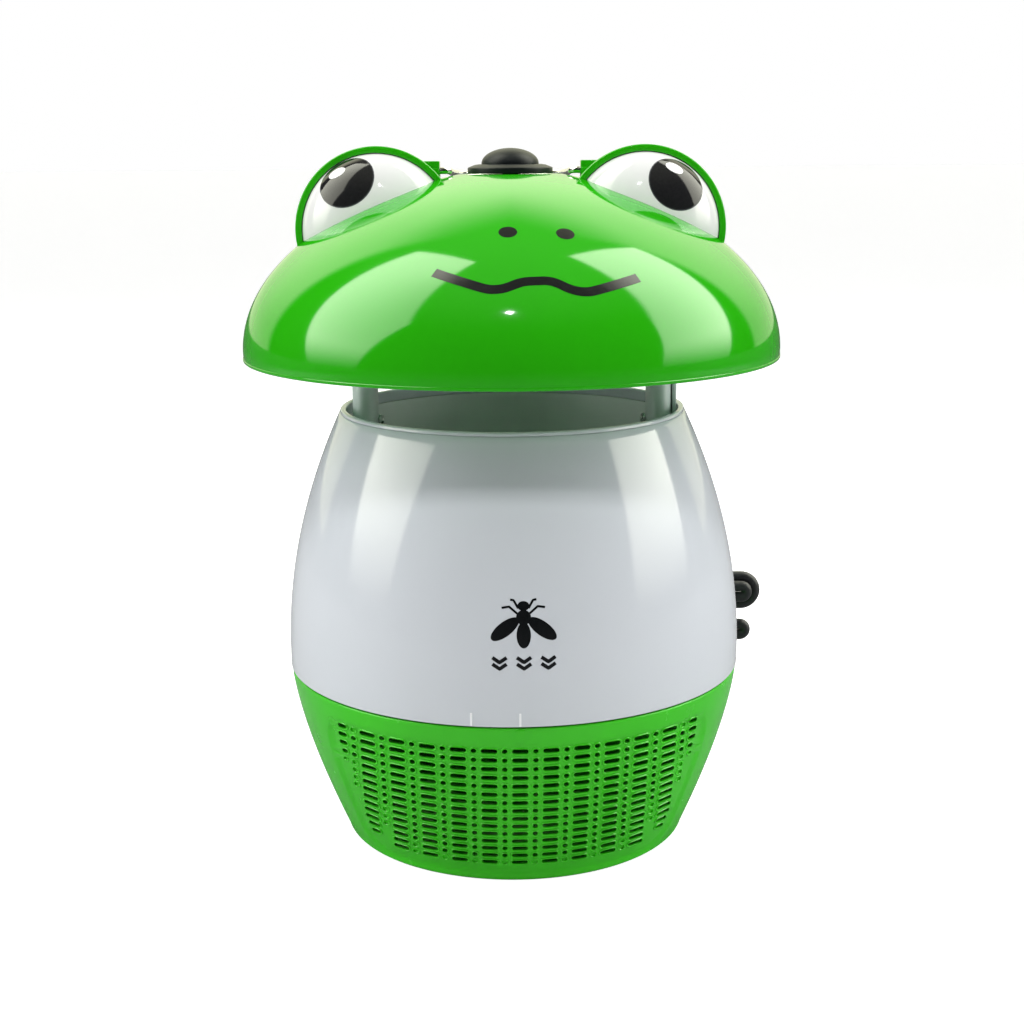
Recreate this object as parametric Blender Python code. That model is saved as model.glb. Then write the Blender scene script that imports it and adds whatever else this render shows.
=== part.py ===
"""Electric insect trap shaped like a toadstool with frog eyes.

Lamps under the cap draw insects in, a fan pulls them down through the throat, and a perforated
basket below the body holds them. Front is -Y, +Z is up, and the origin is the centre of the
basket's underside. Lengths below are in millimetres, and the builders turn them into metres.
"""

import math

import bmesh
import bpy
from mathutils import Matrix, Vector

MM = 0.001
GAP = 0.3
LARGE_SIDES = 32
MEDIUM_SIDES = 20
SMALL_SIDES = 10
ROD_SIDES = 12

# White body shell: a barrel, widest near its foot
SHELL_R = 89.5
SHELL_WIDEST_Z = 75.0
SHELL_CURVE = 0.00255
SHELL_FOOT_Z = 68.3
SHELL_TOP_Z = 166.7
SHELL_WALL = 2.2
SHELL_REBATE_R = 66.6

# Throat: the ring that edges it, and the grey duct inside the shell
THROAT_R = 64.8
RING_TOP_Z = 169.6
DUCT_TOP_Z = 164.9
DUCT_R = 64.6
DUCT_TAPER_Z = 146.0
FAN_DUCT_R = 54.0
FAN_DUCT_TOP_Z = 128.0
DUCT_FOOT_Z = 78.7
DUCT_WALL = 1.6
FLANGE_R = 66.0
FLANGE_T = 2.2
BASE_SCREW_AT = 61.0
BASE_BOSS_R = 3.6
BASE_BOSS_TOP_Z = 88.0

# Base ring under the shell, with the ledges of the twist lock
DECK_Z = 76.0
DECK_T = 2.4
DECK_R = 86.8
SKIRT_IN_R = 85.0
SKIRT_FOOT_Z = 68.6
LEDGE_IN_R = 82.8
LEDGE_Z = 68.9
LEDGE_T = 2.0
LOCK_COUNT = 4
LEDGE_HALF_DEG = 5.2
LUG_HALF_DEG = 4.7
UNLOCK_DEG = 11.0

# Green catch basket
BASKET_TOP_Z = 67.7
BASKET_TOP_R = 89.1
BASKET_FOOT_R = 67.7
BASKET_POWER = 1.4
BASKET_WALL = 2.3
BASKET_FOOT_FILLET = 2.0
BASKET_FLOOR_TOP = 2.6
NECK_R = 82.3
NECK_WALL = 2.2
NECK_TOP_Z = 74.6
LUG_R = 84.5
LUG_Z = 71.4
LUG_T = 2.0
SLOT_PITCH_X = 22.0
SLOT_W = 15.5
SLOT_PITCH_Z = 13.0
SLOT_H = 5.5
SLOT_FIRST_Z = 13.5
SLOT_ROWS = 4

# Green cap: a superellipse turned about Z
CAP_R = 103.3
CAP_H = 67.45
CAP_Z = 192.5
CAP_POWER_R = 2 / 1.736
CAP_POWER_Z = 2 / 2.028
CAP_WALL = 2.2
CAP_STEPS = 9
CAP_INNER_STEPS = 6
CAP_RIM_Z = 189.4
SEAT_R = 19.4
SEAT_Z = 258.1
CAP_BOSS_R = 3.5
CAP_BOSS_AT = 72.0
CAP_BOSS_TOP_Z = 236.2

# Lamp plate that closes the cap, with the lamps and their clear cover below it
PLATE_Z = 194.5
PLATE_T = 2.0
PLATE_R = 99.2
LED_COUNT = 6
LED_AT = 28.0
LED_TIP_Z = 187.2
LED_R = 2.5
COVER_IN_R = 16.0
COVER_OUT_R = 40.0
COVER_FOOT_Z = 184.6

# Posts that carry the cap above the throat
POST_X = 57.4
POST_HALF_X = 5.0
POST_HALF_Y = 8.0
POST_FOOT_Z = 146.8
POST_TOP_Z = 194.2
POST_BORE_R = 2.6
POST_SCREW_Z = 164.0
CONDUIT_OUT_X = 64.1
CONDUIT_HALF_Y = 4.0
CONDUIT_FOOT_Z = 155.5
HARNESS_Z = 152.0

# Eyes
EYE_X = 50.4
EYE_Z = 237.9
EYE_RIM_R = 30.9
EYE_RIM_FRONT = 10.5
EYE_POD_DEPTH = 25.0
EYE_POD_BASE = 8.0
EYE_WALL = 2.4
EYEBALL_R = 28.2
EYEBALL_DEPTH = 18.5
EYEBALL_BASE = 8.5
BAIL_LUG_IN_X = 26.7
BAIL_LUG_OUT_X = 33.5
BAIL_LUG_HALF_Y = 4.0
BAIL_LUG_FOOT_Z = 250.0
BAIL_LUG_TOP_Z = 263.1

# Wire bail that folds back over the cap
BAIL_Z = 259.5
BAIL_R = 1.3
BAIL_HALF_W = 23.2
BAIL_ARM = 32.0
BAIL_DROOP_DEG = 2.0
BAIL_BEND_R = 3.0
BAIL_PIN_X = 31.6

# Push switch on top of the cap
BEZEL_R = 16.2
BEZEL_Z = 258.4
BEZEL_TOP_Z = 261.8
BUTTON_R = 10.9
BUTTON_TOP_Z = 267.8
BUTTON_SHOULDER_Z = 262.0
BUTTON_FOOT_Z = 259.4
STEM_R = 3.2
STEM_FOOT_Z = 249.0
SWITCH_R = 10.9
SWITCH_TOP_Z = 256.3
SWITCH_FOOT_Z = 245.5

# Fan, motor and its mount
MOTOR_R = 13.7
MOTOR_FOOT_Z = 86.0
MOTOR_TOP_Z = 110.0
SHAFT_R = 1.5
HUB_R = 13.0
HUB_FOOT_Z = 111.9
HUB_TOP_Z = 126.5
BLADE_COUNT = 7
BLADE_TIP_R = 49.5
GUARD_Z = 131.0
GUARD_T = 2.4
GUARD_HUB_R = 9.0
GUARD_OUT_R = 54.0
MOUNT_FOOT_Z = 88.0
MOUNT_TOP_Z = 104.0
MOUNT_RIM_Z = 96.0
MOUNT_RIM_T = 3.0
MOUNT_RIM_IN_R = 51.4
MOUNT_RIM_OUT_R = 53.5

# Mains cord
CORD_R = 2.45
CORD_EXIT_Z = 92.0
PLUG_Z = 44.6
PLUG_Y = 99.5
PLUG_TIP_X = -66.0
PLUG_TAIL_X = -46.0
PLUG_HALF_Y = 6.5
PLUG_HALF_Z = 13.0
PIN_TIP_X = -85.0
PIN_PITCH_HALF = 9.5
TIE_X = 30.0

WHITE = ("shell_white", (0.72, 0.74, 0.74), 0.3, 0.0)
CAP_GREEN = ("cap_green", (0.05, 0.55, 0.015), 0.22, 0.0)
PLATE_GREEN = ("plate_green", (0.30, 0.56, 0.33), 0.35, 0.0)
BASKET_GREEN = ("basket_green", (0.05, 0.38, 0.03), 0.4, 0.0)
GREY = ("duct_grey", (0.10, 0.13, 0.11), 0.5, 0.0)
POST_GREY = ("post_grey", (0.25, 0.30, 0.27), 0.45, 0.0)
EYE_WHITE = ("eye_white", (0.80, 0.80, 0.78), 0.25, 0.0)
BLACK = ("black_plastic", (0.012, 0.013, 0.015), 0.45, 0.0)
RUBBER = ("cord_black", (0.012, 0.013, 0.015), 0.6, 0.0)
CHROME = ("chrome_wire", (0.80, 0.80, 0.82), 0.12, 1.0)
STEEL = ("screw_steel", (0.60, 0.60, 0.62), 0.3, 1.0)
MOTOR_STEEL = ("motor_steel", (0.45, 0.46, 0.48), 0.35, 1.0)
BOARD_GREEN = ("board_green", (0.01, 0.12, 0.05), 0.5, 0.0)
LAMP_VIOLET = ("lamp_lens", (0.45, 0.35, 0.80), 0.1, 0.0)
CLEAR = ("clear_cover", (0.85, 0.88, 0.92), 0.08, 0.0)
AMBER = ("transformer_tape", (0.55, 0.30, 0.03), 0.4, 0.0)


def clear_scene():
    for old in list(bpy.data.objects):
        bpy.data.objects.remove(old, do_unlink=True)


def material(look):
    name, colour, roughness, metallic = look
    found = bpy.data.materials.get(name)
    if found:
        return found
    made = bpy.data.materials.new(name)
    made.use_nodes = True
    shader = made.node_tree.nodes["Principled BSDF"]
    shader.inputs["Base Color"].default_value = (*colour, 1.0)
    shader.inputs["Roughness"].default_value = roughness
    shader.inputs["Metallic"].default_value = metallic
    made.diffuse_color = (*colour, 1.0)
    return made


def add_object(name, mesh, look, pivot=None):
    """Turns a bmesh in millimetres into an object. A pivot is the empty it moves with."""
    bmesh.ops.recalc_face_normals(mesh, faces=mesh.faces)
    bmesh.ops.scale(mesh, vec=(MM, MM, MM), verts=mesh.verts)
    if pivot:
        bmesh.ops.translate(mesh, vec=-pivot.location, verts=mesh.verts)
    data = bpy.data.meshes.new(name)
    mesh.to_mesh(data)
    mesh.free()
    data.materials.append(material(look))
    data.shade_smooth()
    data.set_sharp_from_angle(angle=math.radians(32))
    made = bpy.data.objects.new(name, data)
    bpy.context.scene.collection.objects.link(made)
    made.parent = pivot
    return made


def add_pivot(name, z):
    empty = bpy.data.objects.new(name, None)
    empty.location = (0, 0, z * MM)
    bpy.context.scene.collection.objects.link(empty)
    return empty


def combine(target, other, operation):
    """Boolean with a hidden helper object."""
    modifier = target.modifiers.new(other.name, "BOOLEAN")
    modifier.operation = operation
    modifier.solver = "EXACT"
    modifier.object = other
    other.hide_render = True
    other.display_type = "WIRE"


def cut(target, cutter):
    combine(target, cutter, "DIFFERENCE")


def fuse(target, other):
    combine(target, other, "UNION")


def turn_into(mesh, outline, sides, place=None, phase=0.0):
    """Revolves a loop of (radius, height) about Z; a radius of 0 is a pole."""
    place = place or Matrix()
    rings = []
    for radius, height in outline:
        if radius == 0:
            rings.append([mesh.verts.new(place @ Vector((0, 0, height)))] * sides)
            continue
        ring = []
        for i in range(sides):
            angle = math.tau * (i + phase) / sides
            point = Vector((radius * math.cos(angle), radius * math.sin(angle), height))
            ring.append(mesh.verts.new(place @ point))
        rings.append(ring)
    for lower, upper in zip(rings, rings[1:] + rings[:1]):
        for i in range(sides):
            j = (i + 1) % sides
            corners = list(dict.fromkeys((lower[i], lower[j], upper[j], upper[i])))
            if len(corners) > 2:
                mesh.faces.new(corners)


def turned(name, outline, look, sides=LARGE_SIDES, place=None, pivot=None):
    mesh = bmesh.new()
    turn_into(mesh, outline, sides, place)
    return add_object(name, mesh, look, pivot)


def rod_outline(radius, low, high):
    return [(0, low), (radius, low), (radius, high), (0, high)]


def rods(name, places, radius, low, high):
    """One or more separate upright rods at the given (x, y) places."""
    mesh = bmesh.new()
    for x, y in places:
        turn_into(mesh, rod_outline(radius, low, high), ROD_SIDES, Matrix.Translation((x, y, 0)), 0.5)
    return add_object(name, mesh, STEEL)


def add_box(mesh, low, high):
    corners = bmesh.ops.create_cube(mesh, size=1.0)["verts"]
    size = Vector(high) - Vector(low)
    bmesh.ops.scale(mesh, vec=size, verts=corners)
    bmesh.ops.translate(mesh, vec=(Vector(high) + Vector(low)) / 2, verts=corners)
    return corners


def box(name, low, high, look, bevel=0.0):
    mesh = bmesh.new()
    add_box(mesh, low, high)
    if bevel:
        bmesh.ops.bevel(
            mesh, geom=mesh.edges[:], offset=bevel, segments=2, profile=0.5, affect="EDGES"
        )
    return add_object(name, mesh, look)


def extruded(name, outline, low, high, look):
    """A flat outline of (x, y) raised from one height to another."""
    mesh = bmesh.new()
    foot = [mesh.verts.new((x, y, low)) for x, y in outline]
    top = [mesh.verts.new((x, y, high)) for x, y in outline]
    mesh.faces.new(foot[::-1])
    mesh.faces.new(top)
    for i in range(len(outline)):
        j = (i + 1) % len(outline)
        mesh.faces.new((foot[i], foot[j], top[j], top[i]))
    return add_object(name, mesh, look)


def arc_blocks(name, blocks, low, high, look, steps=3):
    """Separate curved blocks, each (inner radius, outer radius, from degrees, to degrees)."""
    mesh = bmesh.new()
    for inner, outer, start, end in blocks:
        sections = []
        for i in range(steps + 1):
            angle = math.radians(start + (end - start) * i / steps)
            c, s = math.cos(angle), math.sin(angle)
            ends = ((inner, low), (outer, low), (outer, high), (inner, high))
            sections.append([mesh.verts.new((r * c, r * s, z)) for r, z in ends])
        mesh.faces.new(sections[0])
        mesh.faces.new(sections[-1])
        for first, second in zip(sections, sections[1:]):
            for i in range(4):
                j = (i + 1) % 4
                mesh.faces.new((first[i], first[j], second[j], second[i]))
    return add_object(name, mesh, look)


def rounded_path(points, radii, steps=5):
    """A polyline whose inner corners become arcs; radii has one value per inner corner."""
    points = [Vector(p) for p in points]
    path = [points[0]]
    for before, corner, after, radius in zip(points, points[1:], points[2:], radii):
        back = (before - corner).normalized()
        ahead = (after - corner).normalized()
        half = back.angle(ahead) / 2
        reach = radius / math.tan(half)
        centre = corner + (back + ahead).normalized() * (radius / math.sin(half))
        start = corner + back * reach - centre
        end = corner + ahead * reach - centre
        for i in range(steps + 1):
            path.append(centre + start.slerp(end, i / steps).normalized() * radius)
    path.append(points[-1])
    kept = [path[0]]
    for point in path[1:]:
        if (point - kept[-1]).length > 0.05:
            kept.append(point)
    return kept


def sweep(name, path, section, look, closed=False, pivot=None):
    """Carries a section of (side, up) points along a path without twisting it."""
    mesh = bmesh.new()
    count = len(path)
    rings = []
    up = None
    for i, point in enumerate(path):
        before = path[i - 1] if i or closed else point
        after = path[(i + 1) % count] if i + 1 < count or closed else point
        along = (after - before).normalized()
        if up is None:
            up = along.orthogonal().normalized()
            if abs(along.x) < 0.9:
                up = along.cross(Vector((1, 0, 0))).normalized()
        up = (up - along * up.dot(along)).normalized()
        side = along.cross(up)
        rings.append([mesh.verts.new(point + side * a + up * b) for a, b in section])
    pairs = list(zip(rings, rings[1:]))
    if closed:
        pairs.append((rings[-1], rings[0]))
    else:
        mesh.faces.new(rings[0])
        mesh.faces.new(rings[-1])
    for first, second in pairs:
        for i in range(len(section)):
            j = (i + 1) % len(section)
            mesh.faces.new((first[i], first[j], second[j], second[i]))
    return add_object(name, mesh, look, pivot)


def circle(radius, sides):
    turns = [math.tau * i / sides for i in range(sides)]
    return [(radius * math.cos(t), radius * math.sin(t)) for t in turns]


def around(radius, degrees):
    return [(radius * math.cos(math.radians(d)), radius * math.sin(math.radians(d))) for d in degrees]


def spaced(start, end, count):
    return [start + (end - start) * i / (count - 1) for i in range(count)]


def shell_radius(z):
    return SHELL_R - SHELL_CURVE * (z - SHELL_WIDEST_Z) ** 2


def basket_radius(z):
    drop = (BASKET_TOP_Z - z) / BASKET_TOP_Z
    return BASKET_TOP_R - (BASKET_TOP_R - BASKET_FOOT_R) * drop**BASKET_POWER


def cap_point(turn, inset=0.0):
    """A point of the cap's outline: turn 0 is the rim and a quarter turn is the top."""
    radius = (CAP_R - inset) * math.cos(turn) ** CAP_POWER_R
    return radius, CAP_Z + (CAP_H - inset) * math.sin(turn) ** CAP_POWER_Z


SEAT_TURN = math.acos((SEAT_R / CAP_R) ** (1 / CAP_POWER_R))
CAP_SCREW_PLACES = around(CAP_BOSS_AT, (90, 210, 330))
BASE_SCREW_PLACES = around(BASE_SCREW_AT, (30, 150, 270))


def build_main_shell():
    outer = [(shell_radius(z), z) for z in spaced(SHELL_FOOT_Z, SHELL_TOP_Z, 8)]
    inner = []
    for z in spaced(SHELL_TOP_Z, SHELL_FOOT_Z, 5):
        inner.append((max(shell_radius(z) - SHELL_WALL, SHELL_REBATE_R), z))
    shell = turned("main_shell", outer + inner, WHITE)
    hole = turned(
        "cord_hole",
        rod_outline(4.5, 80, 96),
        WHITE,
        MEDIUM_SIDES,
        Matrix.Translation((0, 0, CORD_EXIT_Z)) @ Matrix.Rotation(-math.pi / 2, 4, "X"),
    )
    cut(shell, hole)


def build_throat():
    flange_z = SHELL_TOP_Z + GAP
    spigot = THROAT_R + 1.4
    outline = [
        (THROAT_R, DUCT_TOP_Z + GAP),
        (spigot, DUCT_TOP_Z + GAP),
        (spigot, flange_z),
        (shell_radius(flange_z), flange_z),
        (shell_radius(RING_TOP_Z) + 0.2, RING_TOP_Z - 0.5),
        (shell_radius(RING_TOP_Z) - 0.4, RING_TOP_Z),
        (THROAT_R + 0.5, RING_TOP_Z),
        (THROAT_R, RING_TOP_Z - 0.5),
    ]
    turned("intake_ring", outline, WHITE)

    duct = turned(
        "intake_duct",
        [
            (FAN_DUCT_R, DUCT_FOOT_Z),
            (FLANGE_R, DUCT_FOOT_Z),
            (FLANGE_R, DUCT_FOOT_Z + FLANGE_T),
            (FAN_DUCT_R + DUCT_WALL, DUCT_FOOT_Z + FLANGE_T),
            (FAN_DUCT_R + DUCT_WALL, FAN_DUCT_TOP_Z - 0.5),
            (DUCT_R + DUCT_WALL, DUCT_TAPER_Z - 0.5),
            (DUCT_R + DUCT_WALL, DUCT_TOP_Z),
            (DUCT_R, DUCT_TOP_Z),
            (DUCT_R, DUCT_TAPER_Z),
            (FAN_DUCT_R, FAN_DUCT_TOP_Z),
        ],
        GREY,
    )
    bosses = rods("duct_bosses", BASE_SCREW_PLACES, BASE_BOSS_R, DUCT_FOOT_Z + 1, BASE_BOSS_TOP_Z)
    fuse(duct, bosses)
    holes = rods("base_screw_holes", BASE_SCREW_PLACES, 1.7, DECK_Z - 1, BASE_BOSS_TOP_Z - 1)
    cut(duct, holes)
    wire_hole = turned(
        "harness_hole",
        rod_outline(2.0, 60, 70),
        GREY,
        SMALL_SIDES,
        Matrix.Translation((0, 0, HARNESS_Z)) @ Matrix.Rotation(math.pi / 2, 4, "Y"),
    )
    cut(duct, wire_hole)
    return holes


def build_base_ring(holes):
    ring = turned(
        "base_ring",
        [
            (FAN_DUCT_R + GAP, DECK_Z),
            (SKIRT_IN_R, DECK_Z),
            (SKIRT_IN_R, SKIRT_FOOT_Z),
            (DECK_R, SKIRT_FOOT_Z),
            (DECK_R, DECK_Z + DECK_T),
            (FAN_DUCT_R + GAP, DECK_Z + DECK_T),
        ],
        WHITE,
    )
    overlap_r = SKIRT_IN_R + 0.8
    centres = [45 + 360 * i / LOCK_COUNT for i in range(LOCK_COUNT)]
    ledges = [(LEDGE_IN_R, overlap_r, c - LEDGE_HALF_DEG, c + LEDGE_HALF_DEG) for c in centres]
    fuse(ring, arc_blocks("lock_ledges", ledges, LEDGE_Z, LEDGE_Z + LEDGE_T, WHITE))
    locked = LUG_HALF_DEG + 0.5
    opened = -UNLOCK_DEG - LUG_HALF_DEG - 0.5
    stops = []
    for c in centres:
        stops.append((LEDGE_IN_R, overlap_r, c + locked, c + locked + 2.5))
        stops.append((LEDGE_IN_R, overlap_r, c + opened - 2.5, c + opened))
    fuse(ring, arc_blocks("lock_stops", stops, LUG_Z, DECK_Z + 1, WHITE, steps=1))
    cut(ring, holes)


def basket_slots():
    """Straight slots from front to back, fewer in each row towards the foot."""
    mesh = bmesh.new()
    for row in range(SLOT_ROWS):
        z = SLOT_FIRST_Z + SLOT_PITCH_Z * row
        most = 1 if row == 0 else 2
        for column in range(-most, most + 1):
            x = SLOT_PITCH_X * column
            add_box(
                mesh,
                (x - SLOT_W / 2, -BASKET_TOP_R - 5, z - SLOT_H / 2),
                (x + SLOT_W / 2, BASKET_TOP_R + 5, z + SLOT_H / 2),
            )
    return add_object("basket_slots", mesh, BASKET_GREEN)


def build_basket(pivot):
    fillet = BASKET_FOOT_FILLET
    foot_r = basket_radius(fillet)
    outline = [(0, 0), (18, 0), (19, 1.0), (56, 1.0), (57.5, 0)]
    for i in range(4):
        turn = math.pi / 2 * i / 3
        outline.append((foot_r - fillet + fillet * math.sin(turn), fillet - fillet * math.cos(turn)))
    outline += [(basket_radius(z), z) for z in spaced(fillet, BASKET_TOP_Z, 7)[1:]]
    shelf_z = BASKET_TOP_Z - BASKET_WALL
    neck_in = NECK_R - NECK_WALL
    outline += [(NECK_R, BASKET_TOP_Z), (NECK_R, NECK_TOP_Z), (neck_in, NECK_TOP_Z)]
    outline.append((neck_in, shelf_z))
    for z in spaced(shelf_z, BASKET_FLOOR_TOP + 1.5, 5):
        outline.append((basket_radius(z) - BASKET_WALL, z))
    outline += [(basket_radius(BASKET_FLOOR_TOP) - 4.0, BASKET_FLOOR_TOP), (0, BASKET_FLOOR_TOP)]
    basket = turned("catch_basket", outline, BASKET_GREEN, pivot=pivot)
    centres = [45 + 360 * i / LOCK_COUNT for i in range(LOCK_COUNT)]
    lugs = [(NECK_R - 0.8, LUG_R, c - LUG_HALF_DEG, c + LUG_HALF_DEG) for c in centres]
    fuse(basket, arc_blocks("basket_lugs", lugs, LUG_Z, LUG_Z + LUG_T, BASKET_GREEN))
    cut(basket, basket_slots())


def build_cap():
    outer = [cap_point(SEAT_TURN * i / CAP_STEPS) for i in range(CAP_STEPS + 1)]
    inner = [cap_point(SEAT_TURN * i / CAP_INNER_STEPS, CAP_WALL) for i in range(CAP_INNER_STEPS, -1, -1)]
    seat_hole = BUTTON_R + GAP
    outline = [(CAP_R - 1.3, CAP_RIM_Z), (CAP_R - 0.3, CAP_RIM_Z + 1)] + outer
    outline += [(SEAT_R, SEAT_Z), (seat_hole, SEAT_Z), (seat_hole, inner[0][1])]
    outline += inner + [(CAP_R - CAP_WALL, CAP_RIM_Z)]
    cap = turned("cap_shell", outline, CAP_GREEN)
    boss_foot = PLATE_Z + PLATE_T + GAP
    fuse(cap, rods("cap_bosses", CAP_SCREW_PLACES, CAP_BOSS_R, boss_foot, CAP_BOSS_TOP_Z))
    holes = rods("cap_screw_holes", CAP_SCREW_PLACES, 1.7, PLATE_Z - 1, boss_foot + 11)
    cut(cap, holes)

    plate = turned(
        "lamp_plate",
        rod_outline(PLATE_R, PLATE_Z, PLATE_Z + PLATE_T),
        PLATE_GREEN,
    )
    cut(plate, holes)
    cut(plate, rods("plate_wire_hole", [(POST_X, 0)], 2.2, PLATE_Z - 1, PLATE_Z + PLATE_T + 1))


def build_lamps():
    board_top = PLATE_Z - GAP
    board_foot = board_top - 1.6
    ring = [(20, board_foot), (36, board_foot), (36, board_top), (20, board_top)]
    turned("led_board", ring, BOARD_GREEN, MEDIUM_SIDES)
    top = board_foot - GAP
    lens = [(0, LED_TIP_Z), (1.5, LED_TIP_Z + 0.4), (LED_R, LED_TIP_Z + 1.9), (LED_R, top), (0, top)]
    for i in range(LED_COUNT):
        angle = math.tau * i / LED_COUNT
        place = Matrix.Translation((LED_AT * math.cos(angle), LED_AT * math.sin(angle), 0))
        turned(f"uv_led_{i + 1}", lens, LAMP_VIOLET, SMALL_SIDES, place)
    wall = 1.5
    channel = [
        (COVER_IN_R, board_top),
        (COVER_IN_R, COVER_FOOT_Z),
        (COVER_OUT_R, COVER_FOOT_Z),
        (COVER_OUT_R, board_top),
        (COVER_OUT_R - wall, board_top),
        (COVER_OUT_R - wall, COVER_FOOT_Z + wall),
        (COVER_IN_R + wall, COVER_FOOT_Z + wall),
        (COVER_IN_R + wall, board_top),
    ]
    turned("led_cover", channel, CLEAR, MEDIUM_SIDES)


def build_posts():
    for name, side in (("left", -1), ("right", 1)):
        oval = [
            (side * POST_X + POST_HALF_X * math.cos(t), POST_HALF_Y * math.sin(t))
            for t in [math.tau * i / 20 for i in range(20)]
        ]
        post = extruded(f"post_{name}", oval, POST_FOOT_Z, POST_TOP_Z, POST_GREY)
        inward = Matrix.Translation((0, 0, POST_SCREW_Z)) @ Matrix.Rotation(side * math.pi / 2, 4, "Y")
        face = POST_X - POST_HALF_X
        cut(post, turned(f"post_screw_hole_{name}", rod_outline(1.5, face - 2, face + 2), STEEL,
                         SMALL_SIDES, inward))
        head = [(0, face - 1.7), (1.6, face - 1.6), (2.1, face - 0.9), (2.1, face - GAP),
                (1.2, face - GAP), (1.2, face + 1.7), (0, face + 1.7)]
        turned(f"post_screw_{name}", head, STEEL, SMALL_SIDES, inward)
        if side == 1:
            cut(post, rods("post_bore", [(POST_X, 0)], POST_BORE_R, POST_FOOT_Z - 1, POST_TOP_Z + 1))
            entry = Matrix.Translation((0, 0, HARNESS_Z)) @ Matrix.Rotation(math.pi / 2, 4, "Y")
            cut(post, turned("post_wire_entry", rod_outline(2.0, POST_X, POST_X + 8), STEEL,
                             SMALL_SIDES, entry))
    low = (POST_X + POST_HALF_X + GAP, -CONDUIT_HALF_Y, CONDUIT_FOOT_Z)
    box("conduit_cover", low, (CONDUIT_OUT_X, CONDUIT_HALF_Y, POST_TOP_Z), POST_GREY, 0.4)


def eye_place(side):
    """Local Z points out of the front of the eye."""
    centre = Matrix.Translation((side * EYE_X, 0, EYE_Z))
    return centre @ Matrix.Rotation(math.pi / 2, 4, "X")


def half_oval(radius, base, depth, steps):
    """From the rim at the base to the pole, along local Z."""
    turns = [math.pi / 2 * i / steps for i in range(steps)]
    points = [(radius * math.cos(t), base + depth * math.sin(t)) for t in turns]
    return points + [(0, base + depth)]


def build_eyes():
    dome = [cap_point(SEAT_TURN * i / CAP_STEPS, -GAP) for i in range(CAP_STEPS + 1)]
    dome = [(0, 150), (CAP_R + GAP, 150)] + dome + [(0, SEAT_Z)]
    clearance = turned("cap_clearance", dome, CAP_GREEN)
    for name, side in (("left", -1), ("right", 1)):
        place = eye_place(side)
        outer = half_oval(EYE_RIM_R, EYE_POD_BASE, -EYE_POD_DEPTH, 6)
        inner = half_oval(EYE_RIM_R - EYE_WALL, EYE_POD_BASE, EYE_WALL - EYE_POD_DEPTH, 5)
        outline = [(EYE_RIM_R, EYE_RIM_FRONT)] + outer + inner[::-1]
        outline.append((EYE_RIM_R - EYE_WALL, EYE_RIM_FRONT))
        socket = turned(f"eye_socket_{name}", outline, CAP_GREEN, 30, place)
        ends = sorted((side * BAIL_LUG_IN_X, side * BAIL_LUG_OUT_X))
        low = (ends[0], -BAIL_LUG_HALF_Y, BAIL_LUG_FOOT_Z)
        fuse(socket, box(f"bail_lug_{name}", low, (ends[1], BAIL_LUG_HALF_Y, BAIL_LUG_TOP_Z), CAP_GREEN))
        cut(socket, clearance)
        along_x = Matrix.Translation((0, 0, BAIL_Z)) @ Matrix.Rotation(side * math.pi / 2, 4, "Y")
        bore = rod_outline(BAIL_R + 0.25, BAIL_LUG_IN_X - 1, BAIL_PIN_X + 0.5)
        cut(socket, turned(f"bail_bore_{name}", bore, CAP_GREEN, 16, along_x))

        front = half_oval(EYEBALL_R, EYEBALL_BASE, EYEBALL_DEPTH, 6)
        back = half_oval(EYEBALL_R - 2, EYEBALL_BASE, EYEBALL_DEPTH - 2, 5)
        eyeball = turned(f"eyeball_{name}", front + back[::-1], EYE_WHITE, 30, place)
        cut(eyeball, clearance)


def build_bail(pivot):
    drop = math.tan(math.radians(BAIL_DROOP_DEG))
    path = rounded_path(
        [
            (-BAIL_PIN_X, 0, BAIL_Z),
            (-BAIL_HALF_W, 0, BAIL_Z),
            (-BAIL_HALF_W, BAIL_ARM, BAIL_Z - BAIL_ARM * drop),
        ],
        [BAIL_BEND_R],
    )
    for i in range(1, 10):
        turn = math.pi * i / 10
        y = BAIL_ARM + BAIL_HALF_W * math.sin(turn)
        path.append(Vector((-BAIL_HALF_W * math.cos(turn), y, BAIL_Z - y * drop)))
    path += rounded_path(
        [
            (BAIL_HALF_W, BAIL_ARM, BAIL_Z - BAIL_ARM * drop),
            (BAIL_HALF_W, 0, BAIL_Z),
            (BAIL_PIN_X, 0, BAIL_Z),
        ],
        [BAIL_BEND_R],
    )
    sweep("bail_handle", path, circle(BAIL_R, 8), CHROME, pivot=pivot)


def build_switch(pivot):
    bezel = [
        (BUTTON_R + GAP, BEZEL_Z),
        (BEZEL_R, BEZEL_Z),
        (BEZEL_R, BEZEL_TOP_Z - 1.2),
        (BEZEL_R - 2.6, BEZEL_TOP_Z),
        (BUTTON_R + GAP, BEZEL_TOP_Z),
    ]
    turned("switch_bezel", bezel, BLACK, MEDIUM_SIDES)
    body = [
        (0, SWITCH_FOOT_Z),
        (SWITCH_R, SWITCH_FOOT_Z),
        (SWITCH_R, SWITCH_TOP_Z),
        (STEM_R + 0.4, SWITCH_TOP_Z),
        (STEM_R + 0.4, SWITCH_FOOT_Z + 0.8),
        (0, SWITCH_FOOT_Z + 0.8),
    ]
    turned("switch_body", body, BLACK, MEDIUM_SIDES)
    crown_h = BUTTON_TOP_Z - BUTTON_SHOULDER_Z
    crown = []
    for i in range(5):
        turn = math.pi / 2 * i / 5
        crown.append((BUTTON_R * math.cos(turn), BUTTON_SHOULDER_Z + crown_h * math.sin(turn)))
    button = [(0, STEM_FOOT_Z), (STEM_R, STEM_FOOT_Z), (STEM_R, BUTTON_FOOT_Z), (BUTTON_R, BUTTON_FOOT_Z)]
    button += crown + [(0, BUTTON_TOP_Z)]
    turned("power_button", button, BLACK, MEDIUM_SIDES, pivot=pivot)


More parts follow.
